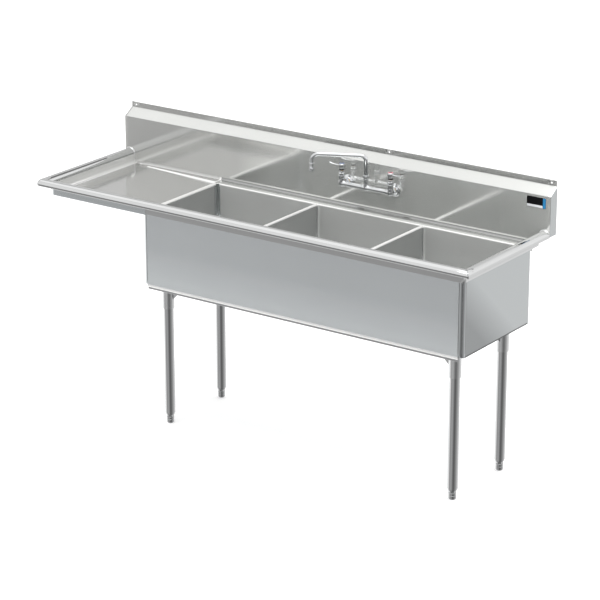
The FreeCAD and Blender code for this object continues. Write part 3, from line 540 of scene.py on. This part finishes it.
def drainboard():
    """Floor, coves up the walls and the splash, diagonal fold, and the ridge that turns into the bowl."""
    bm = bmesh.new()
    columns = [WALL + COVE, 70.0, 85.0, 100.0, 120.0] + [150.0 + 38.0 * i for i in range(9)]
    columns += [RIDGE_START + (RIDGE_TOP - RIDGE_START) * i / 8 for i in range(9)] + [479.0, 483.0]
    fall = [(5.0 * math.sin(math.radians(a)), 5.0 - 5.0 * math.cos(math.radians(a)))
            for a in range(15, 91, 15)]
    shapes = [(x, 0.0) for x in columns] + [(483.0 + run, drop) for run, drop in fall]
    shapes += [(488.0, 9.0), (488.0, 14.0)]

    def lines(x):
        fold = fold_line(x)
        ys = [WALL + COVE + (fold - 5.0 - WALL - COVE) * i / 12 for i in range(13)]
        ys += [fold - 4.0 + 8.0 * i / 8 for i in range(9)]
        start = SPLASH_FACE - SPLASH_COVE - 0.1
        ys += [fold + 4.0 + (start - fold - 4.0) * i / 3 for i in range(1, 4)]
        return ys

    rows = []
    for x, drop in shapes:
        ys = lines(x)
        row = [at(x, y, board_height(x, y) - drop) for y in ys]
        last = ys[-1]
        for i in range(1, 9):
            a = math.radians(90.0 * i / 8)
            row.append(at(x, last + SPLASH_COVE * math.sin(a),
                          board_height(x, last) - drop + SPLASH_COVE * (1 - math.cos(a))))
        rows.append(row)

    def wanted(i, j):
        middle_x = (shapes[i][0] + shapes[i + 1][0]) / 2
        y = lines(middle_x)[min(j, len(lines(middle_x)) - 1)]
        return middle_x < 474.0 or y < BOWL_BACK - 2.0

    add_grid(bm, rows, keep=wanted)

    arc = [(COVE * (1 - math.cos(math.radians(a))), COVE * (1 - math.sin(math.radians(a))))
           for a in range(0, 91, 10)]
    profile = [(0.0, COVE + 8.0)] + arc
    stations = [("left", y) for y in [SPLASH_FACE - 0.1] + lines(columns[0])[::-1]]
    stations += [("corner", 90.0 * i / 8) for i in range(1, 8)]
    stations += [("front", x) for x in columns + [BOWL_LEFT]]
    strips = []
    for kind, value in stations:
        row = []
        for inset, rise in profile:
            if kind == "left":
                x, y = WALL + inset, value
            elif kind == "front":
                x, y = value, WALL + inset
            else:
                a = math.radians(value)
                x = WALL + COVE - (COVE - inset) * math.cos(a)
                y = WALL + COVE - (COVE - inset) * math.sin(a)
            base = board_height(x if kind == "front" else WALL + COVE, max(y, WALL + COVE))
            row.append(at(x, y, base + rise))
        strips.append(row)
    add_grid(bm, strips)
    face_towards(bm, (0, 0, 1))
    board = finish_mesh("drainboard", bm, deck_steel, "sink", ("drainboard_pan",), 50.0, 2e-5)
    # Painted light on the left end's cove walls, and painted highlight on the ridge and along the diagonal
    # fold.
    face_material(board, painted_light_wall, lambda x, y, z, n: x < WALL + COVE - 2.0)
    face_material(board, painted_highlight_steel, lambda x, y, z, n: x > 466.0 and z > 836.0 or
                  x > 110.0 and abs(y - fold_line(x)) < 3.0 and y > 500.0)
    thicken(board)

    bm = bmesh.new()
    radius = 4.0
    rows = []
    for z in (847.0, 856.0, 866.0, 876.0, 884.0):
        grow = max(z - 882.0, 0.0)
        lean = RIM_WIDTH / 2 - math.sqrt(max((RIM_WIDTH / 2) ** 2 - grow * grow, 0.0))
        rows.append([at(RIM_WIDTH - 0.3 - lean + radius * (1 - math.cos(math.radians(a))),
                        SPLASH_FACE + 0.3 - radius + radius * math.sin(math.radians(a)), z)
                     for a in range(0, 91, 10)])
    add_grid(bm, rows)
    face_towards(bm, (1, -1, 0))
    # The corner cove is painted highlight all over.
    finish_mesh("left_corner_cove", bm, painted_highlight_steel, "sink", (), 60.0)

    bm = bmesh.new()
    turn_down = [(0.0, 864.0), (0.0, 850.0), (0.1, 842.5), (0.5, 840.6), (1.6, 839.5), (4.0, 839.2),
                 (9.0, 839.2)]
    rounding = 18.0
    path = [((0.0, y), (1.0, 0.0)) for y in (SPLASH_FACE - 1.0, 400.0, 250.0, 100.0)]
    for i in range(9):
        a = math.radians(90.0 * i / 8)
        path.append(((rounding * (1 - math.cos(a)), RIM_WIDTH + rounding * (1 - math.sin(a))),
                     (math.cos(a), math.sin(a))))
    path += [((x - RIM_WIDTH, RIM_WIDTH), (0.0, 1.0))
             for x in (100.0, 200.0, 300.0, 400.0, TUB_LEFT + TUB_CORNER)]
    add_grid(bm, [[at(RIM_WIDTH - 1.8 + x + inset * u, y - 1.8 + inset * v, z) for inset, z in turn_down]
                  for (x, y), (u, v) in path])
    face_towards(bm, (-1, -1, 0))
    apron = finish_mesh("board_apron", bm, tub_steel, "sink", (), 40.0)
    keep_flat(apron)


# ---------------------------------------------------------------- splash
def splash():
    """Ledge behind the bowls, upright face, sloping return and screw flange, as one bent sheet."""
    holes = (24.0, 1217.0, 1906.0)
    half = (SPLASH_TOP - FLANGE_BOTTOM) / 2 - 2.0
    columns = {1.5, RIM_WIDTH, 474.0, LENGTH - RIM_WIDTH, LENGTH - 1.5}
    for x in holes:
        columns |= {x - half, x + half}
    columns |= {100.0 * i for i in range(1, 19)}
    columns = sorted(columns)
    face = fillet([(SPLASH_FACE, 858.0), (SPLASH_FACE, SPLASH_BEND), (DEPTH - SHEET, FLANGE_BOTTOM),
                   (DEPTH - SHEET, SPLASH_TOP)], [3.0, 3.0], 5)
    flange = face[-2]
    centre_z = (FLANGE_BOTTOM + SPLASH_TOP) / 2
    upper = [(SPLASH_FACE, 846.0)] + face[:1] + [(SPLASH_FACE, 882.0), (SPLASH_FACE, 950.0)]
    upper += face[1:-1] + [(flange[0], centre_z - half), (flange[0], centre_z + half), face[-1]]
    bm = bmesh.new()
    rows = [[at(x, y, z) for y, z in upper] for x in columns]
    hole_row = len(upper) - 3

    def wanted(i, j):
        middle = (columns[i] + columns[i + 1]) / 2
        over_rim = middle < RIM_WIDTH or middle > LENGTH - RIM_WIDTH
        if over_rim and j < 2:
            return False
        if middle > 474.0 and j < 1:
            return False
        return not (j == hole_row and any(abs(middle - x) < half for x in holes))

    add_grid(bm, rows, keep=wanted)
    for x in holes:
        outer, inner = [], []
        for i in range(32):
            a = 2 * math.pi * (i + 0.5) / 32
            reach = half / max(abs(math.cos(a)), abs(math.sin(a)))
            outer.append(at(x + reach * math.cos(a), flange[0], centre_z + reach * math.sin(a)))
            inner.append(at(x + 3.5 * math.cos(a), flange[0], centre_z + 3.5 * math.sin(a)))
        add_grid(bm, [outer, inner], closed=True)
    ledge = fillet([(BOWL_BACK, 836.0), (BOWL_BACK, DECK), (SPLASH_FACE, DECK), (SPLASH_FACE, 858.0)],
                   [5.0, 9.99], 8)
    behind = [x for x in columns if 474.0 <= x <= LENGTH - RIM_WIDTH]
    add_grid(bm, [[at(x, y, z) for y, z in ledge] for x in behind])
    face_towards(bm, (0, -1, 1))
    sheet = finish_mesh("splash_sheet", bm, splash_painted_light, "sink", ("backsplash",), 50.0, 2e-5)
    # The bevel and the bottom keep the splash steel without the painted light.
    face_material(sheet, bevel_steel, lambda x, y, z, n: z > SPLASH_BEND - 2.5 or z < 868.0)
    # Painted shade in the cove behind the bowls.
    face_material(sheet, painted_shade_cove, lambda x, y, z, n: x > 474.0 and y > 543.0 and z < 868.0)
    # Painted highlight along the ledge's front edge.
    face_material(sheet, painted_highlight_steel, lambda x, y, z, n: y < BOWL_BACK + 5.0)
    thicken(sheet)


# ---------------------------------------------------------------- bowls
def rounded_rectangle(x0, x1, y0, y1, radius, z, corner_steps=8, side_steps=8):
    """A closed ring that starts in the middle of the front side's left half."""
    points = []
    centres = ((x1 - radius, y0 + radius, -90), (x1 - radius, y1 - radius, 0),
               (x0 + radius, y1 - radius, 90), (x0 + radius, y0 + radius, 180))
    ends = []
    for cx, cy, start in centres:
        arc = []
        for i in range(corner_steps + 1):
            a = math.radians(start + 90.0 * i / corner_steps)
            arc.append((cx + radius * math.cos(a), cy + radius * math.sin(a)))
        ends.append(arc)
    for arc, following in zip(ends, ends[1:] + ends[:1]):
        points += arc
        a, b = arc[-1], following[0]
        points += [(a[0] + (b[0] - a[0]) * i / side_steps, a[1] + (b[1] - a[1]) * i / side_steps)
                   for i in range(1, side_steps)]
    return [at(x, y, z) for x, y in points]


def bowl(name, left):
    """The inside of a bowl: coved corners, a coved floor that falls to the drain, and the drain's seat."""
    gap = 0.25
    x0, x1 = left + gap, left + BOWL - gap
    y0, y1 = BOWL_FRONT + gap, BOWL_BACK - gap
    corner, cove, top = 12.0, 12.0, 841.5
    floor_z = BOWL_FLOOR + 1.6
    rings = [rounded_rectangle(x0, x1, y0, y1, 0.3, top)]
    for z, radius in ((top - 0.6, corner - 1.0), (top - 1.6, corner), (top - 60.0, corner),
                      (top - 130.0, corner), (top - 200.0, corner), (floor_z + cove, corner)):
        rings.append(rounded_rectangle(x0, x1, y0, y1, radius, z))
    for i in range(1, 9):
        a = math.radians(90.0 * i / 8)
        inset = cove * (1 - math.cos(a))
        rings.append(rounded_rectangle(x0 + inset, x1 - inset, y0 + inset, y1 - inset,
                                       max(corner - inset, 0.4), floor_z + cove * (1 - math.sin(a))))
    middle_x, middle_y = (x0 + x1) / 2, (BOWL_FRONT + BOWL_BACK) / 2
    last = rings[-1]
    centre = at(middle_x, middle_y, BOWL_FLOOR + 0.3)
    for share in (0.25, 0.5, 0.75, 1.0):
        ring = []
        for p in last:
            out = Vector((p.x - centre.x, p.y - centre.y, 0.0))
            rim = centre + out.normalized() * 0.0555
            ring.append(p.lerp(rim, share))
        rings.append(ring)
    bm = bmesh.new()
    add_grid(bm, rings, closed=True)
    bmesh.ops.reverse_faces(bm, faces=bm.faces)
    lining = finish_mesh(name, bm, bowl_steel, "sink", (), 50.0)
    face_material(lining, bowl_side_steel, lambda x, y, z, n: abs(n.x) > 0.75)
    # The inner front wall, picked by the way it faces, gets the painted light.
    face_material(lining, bowl_front_painted_light, lambda x, y, z, n: n.y > 0.75)
    keep_flat(lining)


def bowls():
    for i, side in enumerate(("left", "middle", "right")):
        bowl("bowl_lining_" + side, BOWL_LEFT + PITCH * i)
    for i, side in enumerate(("left", "right")):
        x0 = BOWL_LEFT + BOWL + PITCH * i
        x1 = x0 + PITCH - BOWL
        middle = (x0 + x1) / 2
        radius = (x1 - x0) / 2
        profile = [(x0, 830.0), (x0, 836.0)]
        profile += [(middle - radius * math.cos(math.radians(a)),
                     DECK - radius + radius * math.sin(math.radians(a))) for a in range(0, 181, 12)]
        profile += [(x1, 836.0), (x1, 830.0)]
        bm = bmesh.new()
        add_grid(bm, [[at(x, y, z) for x, z in profile]
                      for y in (BOWL_FRONT - 1.0, 200.0, 350.0, BOWL_BACK + 3.0)])
        face_towards(bm, (0, 0, 1))
        # The divider tops carry the painted highlight.
        cap = finish_mesh("divider_top_" + side, bm, painted_highlight_steel, "sink", ("divider_" + side,),
                          50.0)
        thicken(cap, -1.0, 1.2)


rolled_rim()
corner_weld()
drainboard()
splash()
bowls()


# ---------------------------------------------------------------- faucet
OUT = (0.0, 1.0, 0.0)
VALVES = {"left": (FAUCET_X - VALVE_SPACING / 2, -1), "right": (FAUCET_X + VALVE_SPACING / 2, 1)}
INLETS = (FAUCET_X - INLET_SPACING / 2, FAUCET_X + INLET_SPACING / 2)


def faucet_casting():
    """Bar with flared ends, spout hub, valve barrels and inlet stubs."""
    bm = bmesh.new()
    left = VALVES["left"][0]
    bar = []
    for i in range(61):
        along = VALVE_SPACING * i / 60
        near = min(along, VALVE_SPACING - along, abs(along - VALVE_SPACING / 2))
        bar.append((9.6 + 1.4 * math.exp(-((near - 10.0) / 9.0) ** 2) + (0.6 if near < 14 else 0.0), along))
    add_lathe(bm, bar, at(left, FAUCET_Y, FAUCET_Z), (1, 0, 0), 40)
    for x, side in VALVES.values():
        top = VALVE_TOP - FAUCET_Z
        profile = [(1.0, -11.0), (7.0, -10.8), (10.0, -9.6), (11.4, -7.6), (11.9, -4.5), (11.9, 8.0),
                   (11.2, 10.0), (11.0, top - 6.0), (11.3, top - 4.4), (12.0, top - 4.0),
                   (12.0, top - 0.8), (11.4, top),
                   (8.0, top)]
        add_lathe(bm, profile, at(x, FAUCET_Y, FAUCET_Z))
    top = HUB_TOP - FAUCET_Z
    profile = [(1.0, -11.0), (6.0, -10.9), (8.6, -9.8), (10.2, -7.6), (10.5, -4.0), (10.5, 6.0), (10.0, 10.0),
               (9.0, 14.0), (8.7, 18.0), (8.7, top - 6.0), (9.0, top - 5.0), (10.3, top - 4.4),
               (10.3, top - 0.6), (9.8, top), (6.0, top)]
    add_lathe(bm, profile, at(FAUCET_X, FAUCET_Y, FAUCET_Z))
    for x in INLETS:
        add_lathe(bm, [(10.6, 0.0), (10.6, 11.4), (10.2, 12.4), (9.6, 13.0)], at(x, FAUCET_Y, FAUCET_Z), OUT)
    finish_mesh("faucet_casting", bm, chrome, "sink", ("faucet_body",), 32.0)


def faucet_nuts():
    bm = bmesh.new()
    for x, side in VALVES.values():
        add_hex(bm, 21.0, at(x, FAUCET_Y, VALVE_TOP), (0, 0, 1), 10.0)
        add_lathe(bm, [(9.6, 10.0), (9.6, 10.8), (8.8, 11.4), (8.4, 13.0), (8.4, 16.6), (7.6, 17.8),
                       (5.1, 18.0)], at(x, FAUCET_Y, VALVE_TOP))
    finish_mesh("bonnets", bm, chrome, "sink", ("valve_bonnets",), 25.0)
    bm = bmesh.new()
    for x in INLETS:
        add_hex(bm, 30.0, at(x, FAUCET_Y + 13.0, FAUCET_Z), OUT, 9.5, 1.6)
        add_lathe(bm, [(13.6, 9.4), (13.6, 10.6), (12.6, 12.2), (11.1, 13.0)],
                  at(x, FAUCET_Y + 13.0, FAUCET_Z), OUT)
    finish_mesh("union_nuts", bm, chrome, "sink", ("inlet_nuts",), 25.0)
    bm = bmesh.new()
    dish = [(11.05, -9.0), (14.2, -9.0), (15.4, -8.2), (16.2, -6.6), (18.4, -5.0), (22.0, -3.9), (24.6, -2.9),
            (25.8, -1.8), (26.0, -0.2)]
    for x in INLETS:
        add_lathe(bm, dish, at(x, SPLASH_FACE, FAUCET_Z), OUT, 64, (False, False))
    finish_mesh("escutcheons", bm, chrome, "sink", ("wall_flanges",), 35.0)
    bm = bmesh.new()
    place = at(FAUCET_X, FAUCET_Y, HUB_TOP)
    add_hex(bm, 20.4, place, (0, 0, 1), 9.6, 1.0)
    add_lathe(bm, [(9.0, 9.0), (10.6, 9.6), (11.0, 10.2), (11.0, 12.2), (10.4, 12.9), (8.1, 13.0)], place)
    finish_mesh("swing_ring", bm, chrome, "sink", ("swing_nut",), 25.0)


def sweep(bm, path, radii, steps=28, caps=True):
    """A round section carried along a path, turned as little as possible on the way."""
    rows = []
    axis = (path[1] - path[0]).normalized()
    u = basis(axis)[0]
    for i, place in enumerate(path):
        ahead = (path[min(i + 1, len(path) - 1)] - path[max(i - 1, 0)]).normalized()
        u = (u - ahead * u.dot(ahead)).normalized()
        v = ahead.cross(u)
        rows.append([place + (u * math.cos(2 * math.pi * k / steps) + v * math.sin(2 * math.pi * k / steps))
                     * radii[i] * MM for k in range(steps)])
    verts = add_grid(bm, rows, closed=True)
    if caps:
        bm.faces.new(verts[0][::-1])
        bm.faces.new(verts[-1])


def spout():
    """Riser, level arm and down-turned end, and the outlet with its ring and recessed grille."""
    a = math.radians(SPOUT_ANGLE)
    line = fillet([(0.0, HUB_TOP), (0.0, SPOUT_LEVEL), (SPOUT_REACH, SPOUT_LEVEL), (SPOUT_REACH, 1024.0)],
                  [20.0, 28.0], 14)
    path = [at(FAUCET_X + reach * math.cos(a), FAUCET_Y + reach * math.sin(a), z) for reach, z in line]
    radii = [8.0] * len(path)
    bm = bmesh.new()
    sweep(bm, path, radii, 36)
    finish_mesh("spout_tube", bm, chrome, "spout", ("spout",), 40.0)
    bm = bmesh.new()
    end = at(FAUCET_X + SPOUT_REACH * math.cos(a), FAUCET_Y + SPOUT_REACH * math.sin(a), SPOUT_OUTLET)
    profile = [(6.0, 4.0), (7.4, 4.0), (7.6, 0.4), (8.4, 0.0), (9.4, 0.5), (9.6, 1.6), (9.6, 13.0),
               (9.2, 13.8), (9.2, 15.0), (10.0, 15.8), (10.0, 18.6), (9.4, 19.4), (9.3, 30.0),
               (10.0, 30.8), (10.0, 33.0),
               (9.2, 34.0), (8.0, 34.0)]
    add_lathe(bm, profile, end, (0, 0, 1), 40, (False, False))
    add_lathe(bm, [(6.0, 4.0), (0.6, 4.2)], end, (0, 0, 1), 40, (False, True))
    finish_mesh("spout_outlet", bm, chrome, "spout", ("spout_tip",), 30.0)


def handle(side):
    """Hub with a paddle lever, black ring under it, coloured index ring and a screw on top."""
    x, outward = VALVES[side]
    body = side + "_handle"
    bm = bmesh.new()
    base = at(x, FAUCET_Y, HANDLE_BOTTOM)
    profile = [(5.1, 0.0), (9.4, 0.0), (10.0, 0.8), (10.3, 3.0), (11.6, 7.0), (12.4, 10.0), (12.5, 14.0),
               (12.2, 17.0), (11.2, 19.2), (9.7, 20.0), (9.6, 18.6), (4.0, 18.6)]
    add_lathe(bm, profile, base, (0, 0, 1), 48, (False, True))
    rows = []
    stations = 22
    for i in range(stations + 1):
        t = i / stations
        reach = 6.0 + 50.0 * t
        end = math.sqrt(max(1 - max((t - 0.9) / 0.1, 0.0) ** 2, 0.0))
        wide = (4.2 + 1.8 * ease(t * 1.3)) * max(end, 0.05)
        thick = (3.9 - 2.2 * ease(t * 1.4)) * max(end, 0.1)
        z = HANDLE_TOP - 8.6 + 7.0 * t - 2.0 * math.sin(math.pi * t)
        ring = []
        for k in range(24):
            a = 2 * math.pi * k / 24
            ring.append(at(x + outward * reach, FAUCET_Y + wide * math.cos(a), z + thick * math.sin(a)))
        rows.append(ring)
    verts = add_grid(bm, rows, closed=True)
    bm.faces.new(verts[0][::-1])
    bm.faces.new(verts[-1])
    bmesh.ops.recalc_face_normals(bm, faces=bm.faces)
    finish_mesh("lever_" + side, bm, chrome, body, ("lever_handle_" + side,), 35.0)
    bm = bmesh.new()
    add_lathe(bm, [(5.05, 0.0), (9.6, 0.0), (10.4, 0.7), (10.5, 2.5), (10.4, 4.3), (9.6, 5.0), (5.05, 5.0)],
              at(x, FAUCET_Y, COLLAR_BOTTOM), (0, 0, 1), 48, (False, False))
    finish_mesh("grip_ring_" + side, bm, black_plastic, body, ("handle_collar_" + side,))
    bm = bmesh.new()
    ring = [(5.0, 18.7), (9.5, 18.7), (9.5, 20.4), (9.1, 21.2), (8.0, 21.7), (5.0, 21.9)]
    add_lathe(bm, ring, base, (0, 0, 1), 48, (False, False))
    tint = blue_plastic if side == "left" else red_plastic
    finish_mesh("index_ring_" + side, bm, tint, body, ("index_button_" + side,))
    bm = bmesh.new()
    screw = [(4.9, 18.7), (4.9, 21.6), (4.5, 22.3), (3.2, 22.8), (0.7, 23.0), (0.6, 21.6)]
    add_lathe(bm, screw, base, (0, 0, 1), 40, (False, True))
    # The screw's head is painted dark, standing in for a dark reflection in chrome.
    finish_mesh("handle_screw_" + side, bm, painted_dark_steel, body, ())


faucet_casting()
faucet_nuts()
spout()
handle("left")
handle("right")


# ---------------------------------------------------------------- label
def plate(name, x0, x1, z0, z1, radius, y, thickness, look, nodes):
    """A thin rounded panel on the splash, with a softened edge."""
    bm = bmesh.new()
    rows = []
    for inset, depth in ((0.0, 0.0), (0.0, thickness * 0.6), (0.25, thickness)):
        ring = []
        for cx, cz, start in ((x1 - radius, z1 - radius, 0), (x0 + radius, z1 - radius, 90),
                              (x0 + radius, z0 + radius, 180), (x1 - radius, z0 + radius, 270)):
            for i in range(9):
                a = math.radians(start + 90.0 * i / 8)
                reach = radius - inset
                ring.append(at(cx + reach * math.cos(a), y - depth, cz + reach * math.sin(a)))
        rows.append(ring)
    verts = add_grid(bm, rows, closed=True)
    bm.faces.new(verts[-1])
    bmesh.ops.recalc_face_normals(bm, faces=bm.faces)
    finish_mesh(name, bm, look, "sink", nodes)


plate("label_panel", 1832.0, 1910.0, 984.0, 1023.0, 2.0, SPLASH_FACE, 0.35,
      label_black, ("label",))
plate("label_strip", 1898.0, 1909.0, 985.0, 1022.0, 1.5, SPLASH_FACE - 0.34, 0.1,
      label_blue, ())
plate("label_foot", 1833.0, 1897.0, 985.0, 994.0, 1.0, SPLASH_FACE - 0.34, 0.1,
      label_white, ())


# ---------------------------------------------------------------- feet and seams
def foot(name, x, y):
    """Bullet foot: rounded pad, six-sided grip, collar and a threaded stem."""
    bm = bmesh.new()
    base = at(x, y, 0.0)
    pad = [(8.0 + 6.0 * math.sin(math.radians(a)), 6.0 - 6.0 * math.cos(math.radians(a)))
           for a in range(0, 91, 15)]
    pad += [(14.0, 15.0), (13.4, 15.6), (13.4, 16.6), (14.0, 17.2), (14.0, 25.0), (13.2, 26.0)]
    add_lathe(bm, pad, base)
    add_hex(bm, 24.0, at(x, y, 26.0), (0, 0, 1), 9.0, 1.0)
    add_lathe(bm, [(14.6, 35.0), (15.8, 35.8), (16.0, 37.0), (16.0, 42.0), (15.4, 43.0)], base)
    stem = [(8.0, 43.0)]
    for i in range(20):
        stem += [(8.0, 44.0 + 3.0 * i), (7.2, 45.5 + 3.0 * i)]
    add_lathe(bm, stem + [(8.0, 104.2), (7.4, 105.0)], base, (0, 0, 1), 32)
    finish_mesh("screw_foot_" + name, bm, foot_steel, "foot_" + name, ("foot_" + name,), 28.0)


for leg_name, (leg_x, leg_y) in LEGS.items():
    foot(leg_name, leg_x, leg_y)


def upright_seam(name, x, y, normal):
    """A ground seam where a bent corner strip meets a flat sheet."""
    points = [(at(x, y, 582.0 + 260.0 * i / 80), Vector(normal)) for i in range(81)]
    weld_line(name, points, 2.0, 0.25)


upright_seam("seam_right_front", TUB_RIGHT - TUB_CORNER, RIM_WIDTH + 0.1, (0.0, -1.0, 0.0))
upright_seam("seam_right_side", TUB_RIGHT - 0.1, RIM_WIDTH + TUB_CORNER, (1.0, 0.0, 0.0))
upright_seam("seam_left_front", TUB_LEFT + TUB_CORNER, RIM_WIDTH + 0.1, (0.0, -1.0, 0.0))


def end_hem():
    """A painted shade line: a near-black strip where the right end's sheet folds under."""
    outline = [(TUB_RIGHT + 0.15, 571.0), (TUB_RIGHT + 0.15, 566.4), (TUB_RIGHT - 0.4, TUB_BOTTOM - 0.15),
               (TUB_RIGHT - 3.0, TUB_BOTTOM - 0.15)]
    start = RIM_WIDTH + TUB_CORNER
    end = BOWL_BACK - TUB_CORNER
    bm = bmesh.new()
    add_grid(bm, [[at(x, y, z) for x, z in outline] for y in (start, (start + end) / 2, end)])
    face_towards(bm, (1, -1, -1))
    finish_mesh("tub_hem_right", bm, painted_dark_steel, "sink", (), 60.0)


def front_hem():
    """The front sheet's folded lower edge: a round nose with a painted highlight, and the turned-up channel
    below it in a painted grey shade band.
    """
    face = RIM_WIDTH - 0.25
    nose = [(face, 582.0), (face, 570.0)]
    nose += [(face + 6.0 - 6.0 * math.cos(math.radians(a)), 565.0 - 6.0 * math.sin(math.radians(a)))
             for a in range(0, 81, 10)]
    channel = [(face + 5.4, 558.2), (face + 5.4, 551.6), (face + 6.2, 550.4), (face + 12.0, 550.0)]
    bm = bmesh.new()
    middles = [TUB_LEFT + TUB_CORNER + (TUB_RIGHT - TUB_LEFT - 2 * TUB_CORNER) * i / 8 for i in range(9)]
    add_grid(bm, [[at(x, y, z) for y, z in nose + channel] for x in middles])
    face_towards(bm, (0, -1, -0.2))
    lip = finish_mesh("tub_hem_front", bm, front_steel, "sink", (), 50.0)
    # Painted highlight on the nose, and painted shade on the channel below it.
    face_material(lip, painted_highlight_steel, lambda x, y, z, n: 558.5 < z < 568.0)
    face_material(lip, leg_steel, lambda x, y, z, n: z <= 558.5)
    keep_flat(lip)


front_hem()
end_hem()


# ---------------------------------------------------------------- camera, floor and light
camera_data = bpy.data.cameras.new("camera")
camera_data.lens = 152.53
camera_data.sensor_width = 36.0
camera_data.clip_end = 100.0
camera = bpy.data.objects.new("camera", camera_data)
camera.location = (5.1903, -7.2970, 3.6498)
camera.rotation_euler = (math.radians(70.77), 0.0, math.radians(35.12))
bpy.context.scene.collection.objects.link(camera)
bpy.context.scene.camera = camera

floor_mesh = bpy.data.meshes.new("floor")
bm = bmesh.new()
bmesh.ops.create_grid(bm, x_segments=2, y_segments=2, size=30.0)
bm.to_mesh(floor_mesh)
bm.free()
floor = bpy.data.objects.new("floor", floor_mesh)
bpy.context.scene.collection.objects.link(floor)
floor.location = (0, 0, -0.0005)
floor_look, _, floor_shader = material("floor", (0.80, 0.80, 0.80), 0.0, 0.9)
floor_shader.inputs["Specular IOR Level"].default_value = 0.0
floor_shader.inputs["Emission Color"].default_value = (1, 1, 1, 1)
floor_shader.inputs["Emission Strength"].default_value = 0.35
floor_mesh.materials.append(floor_look)
floor.visible_glossy = False

scene = bpy.context.scene
scene.view_settings.view_transform = "Standard"
scene.cycles.glossy_bounces = 12
world = bpy.data.worlds.new("studio")
scene.world = world
world.use_nodes = True
tree = world.node_tree


def ramp(value, stops, scale):
    """A smooth curve through (place, brightness) stops."""
    node = tree.nodes.new("ShaderNodeValToRGB")
    node.color_ramp.interpolation = "B_SPLINE" if len(stops) > 4 else "LINEAR"
    while len(node.color_ramp.elements) < len(stops):
        node.color_ramp.elements.new(0.5)
    for element, (place, level) in zip(node.color_ramp.elements, stops):
        element.position = place
        element.color = (level / scale, level / scale, level / scale, 1)
    tree.links.new(value, node.inputs["Fac"])
    return node.outputs["Color"]


def maths(operation, a, b=None):
    node = tree.nodes.new("ShaderNodeMath")
    node.operation = operation
    for place, value in enumerate((a, b)):
        if isinstance(value, (int, float)):
            node.inputs[place].default_value = value
        elif value is not None:
            tree.links.new(value, node.inputs[place])
    return node.outputs["Value"]


direction = tree.nodes.new("ShaderNodeTexCoord").outputs["Generated"]
split = tree.nodes.new("ShaderNodeSeparateXYZ")
tree.links.new(direction, split.inputs["Vector"])
turn = maths("ARCTAN2", split.outputs["X"], maths("MULTIPLY", split.outputs["Y"], -1.0))
turn = maths("ADD", maths("DIVIDE", turn, 2 * math.pi), 0.5)
STRONGEST = 2.0
OVERHEAD = 1.8


def around(*stops):
    """Brightness by compass angle in degrees: 0 faces the front, 90 the right end."""
    return ramp(turn, [((angle + 180.0) / 360.0, level) for angle, level in stops], STRONGEST)


below = around((-180, 0.5), (-166, 0.9), (-120, 1.3), (-75, 1.4), (-55, 0.85), (-42, 0.40), (-27, 0.42),
               (-4, 0.6), (19, 0.36), (43, 0.12), (66, 0.2), (91, 0.4), (120, 0.55),
               (148, 1.05), (164, 0.95), (180, 0.5))
level = around((-180, 0.5), (-145, 0.7), (-90, 1.0), (-50, 0.25), (0, 0.12), (50, 0.1), (100, 0.4),
               (148, 1.15), (164, 0.95), (180, 0.5))
above = around((-180, 0.95), (-145, 0.65), (-100, 1.0), (-30, 1.1), (30, 1.0), (90, 1.05), (150, 1.25),
               (180, 0.95))
top = around((-180, 1.3), (180, 1.3))


def blend(factor, a, b):
    node = tree.nodes.new("ShaderNodeMix")
    node.data_type = "RGBA"
    tree.links.new(factor, node.inputs["Factor"])
    tree.links.new(a, node.inputs["A"])
    tree.links.new(b, node.inputs["B"])
    return node.outputs["Result"]


def between(start, end):
    """0 below one height of the direction and 1 above another."""
    node = tree.nodes.new("ShaderNodeMapRange")
    node.interpolation_type = "SMOOTHSTEP"
    node.inputs["From Min"].default_value = start
    node.inputs["From Max"].default_value = end
    tree.links.new(split.outputs["Z"], node.inputs["Value"])
    return node.outputs["Result"]


light = blend(between(-0.22, -0.10), below, level)
light = blend(between(0.02, 0.16), light, above)
light = blend(between(0.55, 0.80), light, top)
gap = maths("MULTIPLY", between(0.63, 0.66), maths("SUBTRACT", 1.0, between(0.69, 0.73)))
back = maths("ADD", maths("MULTIPLY", split.outputs["Y"], 0.5), 0.45)
gap = maths("SUBTRACT", 1.0, maths("MULTIPLY", gap, back))
overhead = maths("ADD", maths("MULTIPLY", between(0.86, 0.95), OVERHEAD), 1.0)
scaled = tree.nodes.new("ShaderNodeVectorMath")
scaled.operation = "SCALE"
tree.links.new(light, scaled.inputs[0])
tree.links.new(maths("MULTIPLY", gap, overhead), scaled.inputs["Scale"])
background = tree.nodes["Background"]
tree.links.new(scaled.outputs["Vector"], background.inputs["Color"])
background.inputs["Strength"].default_value = STRONGEST
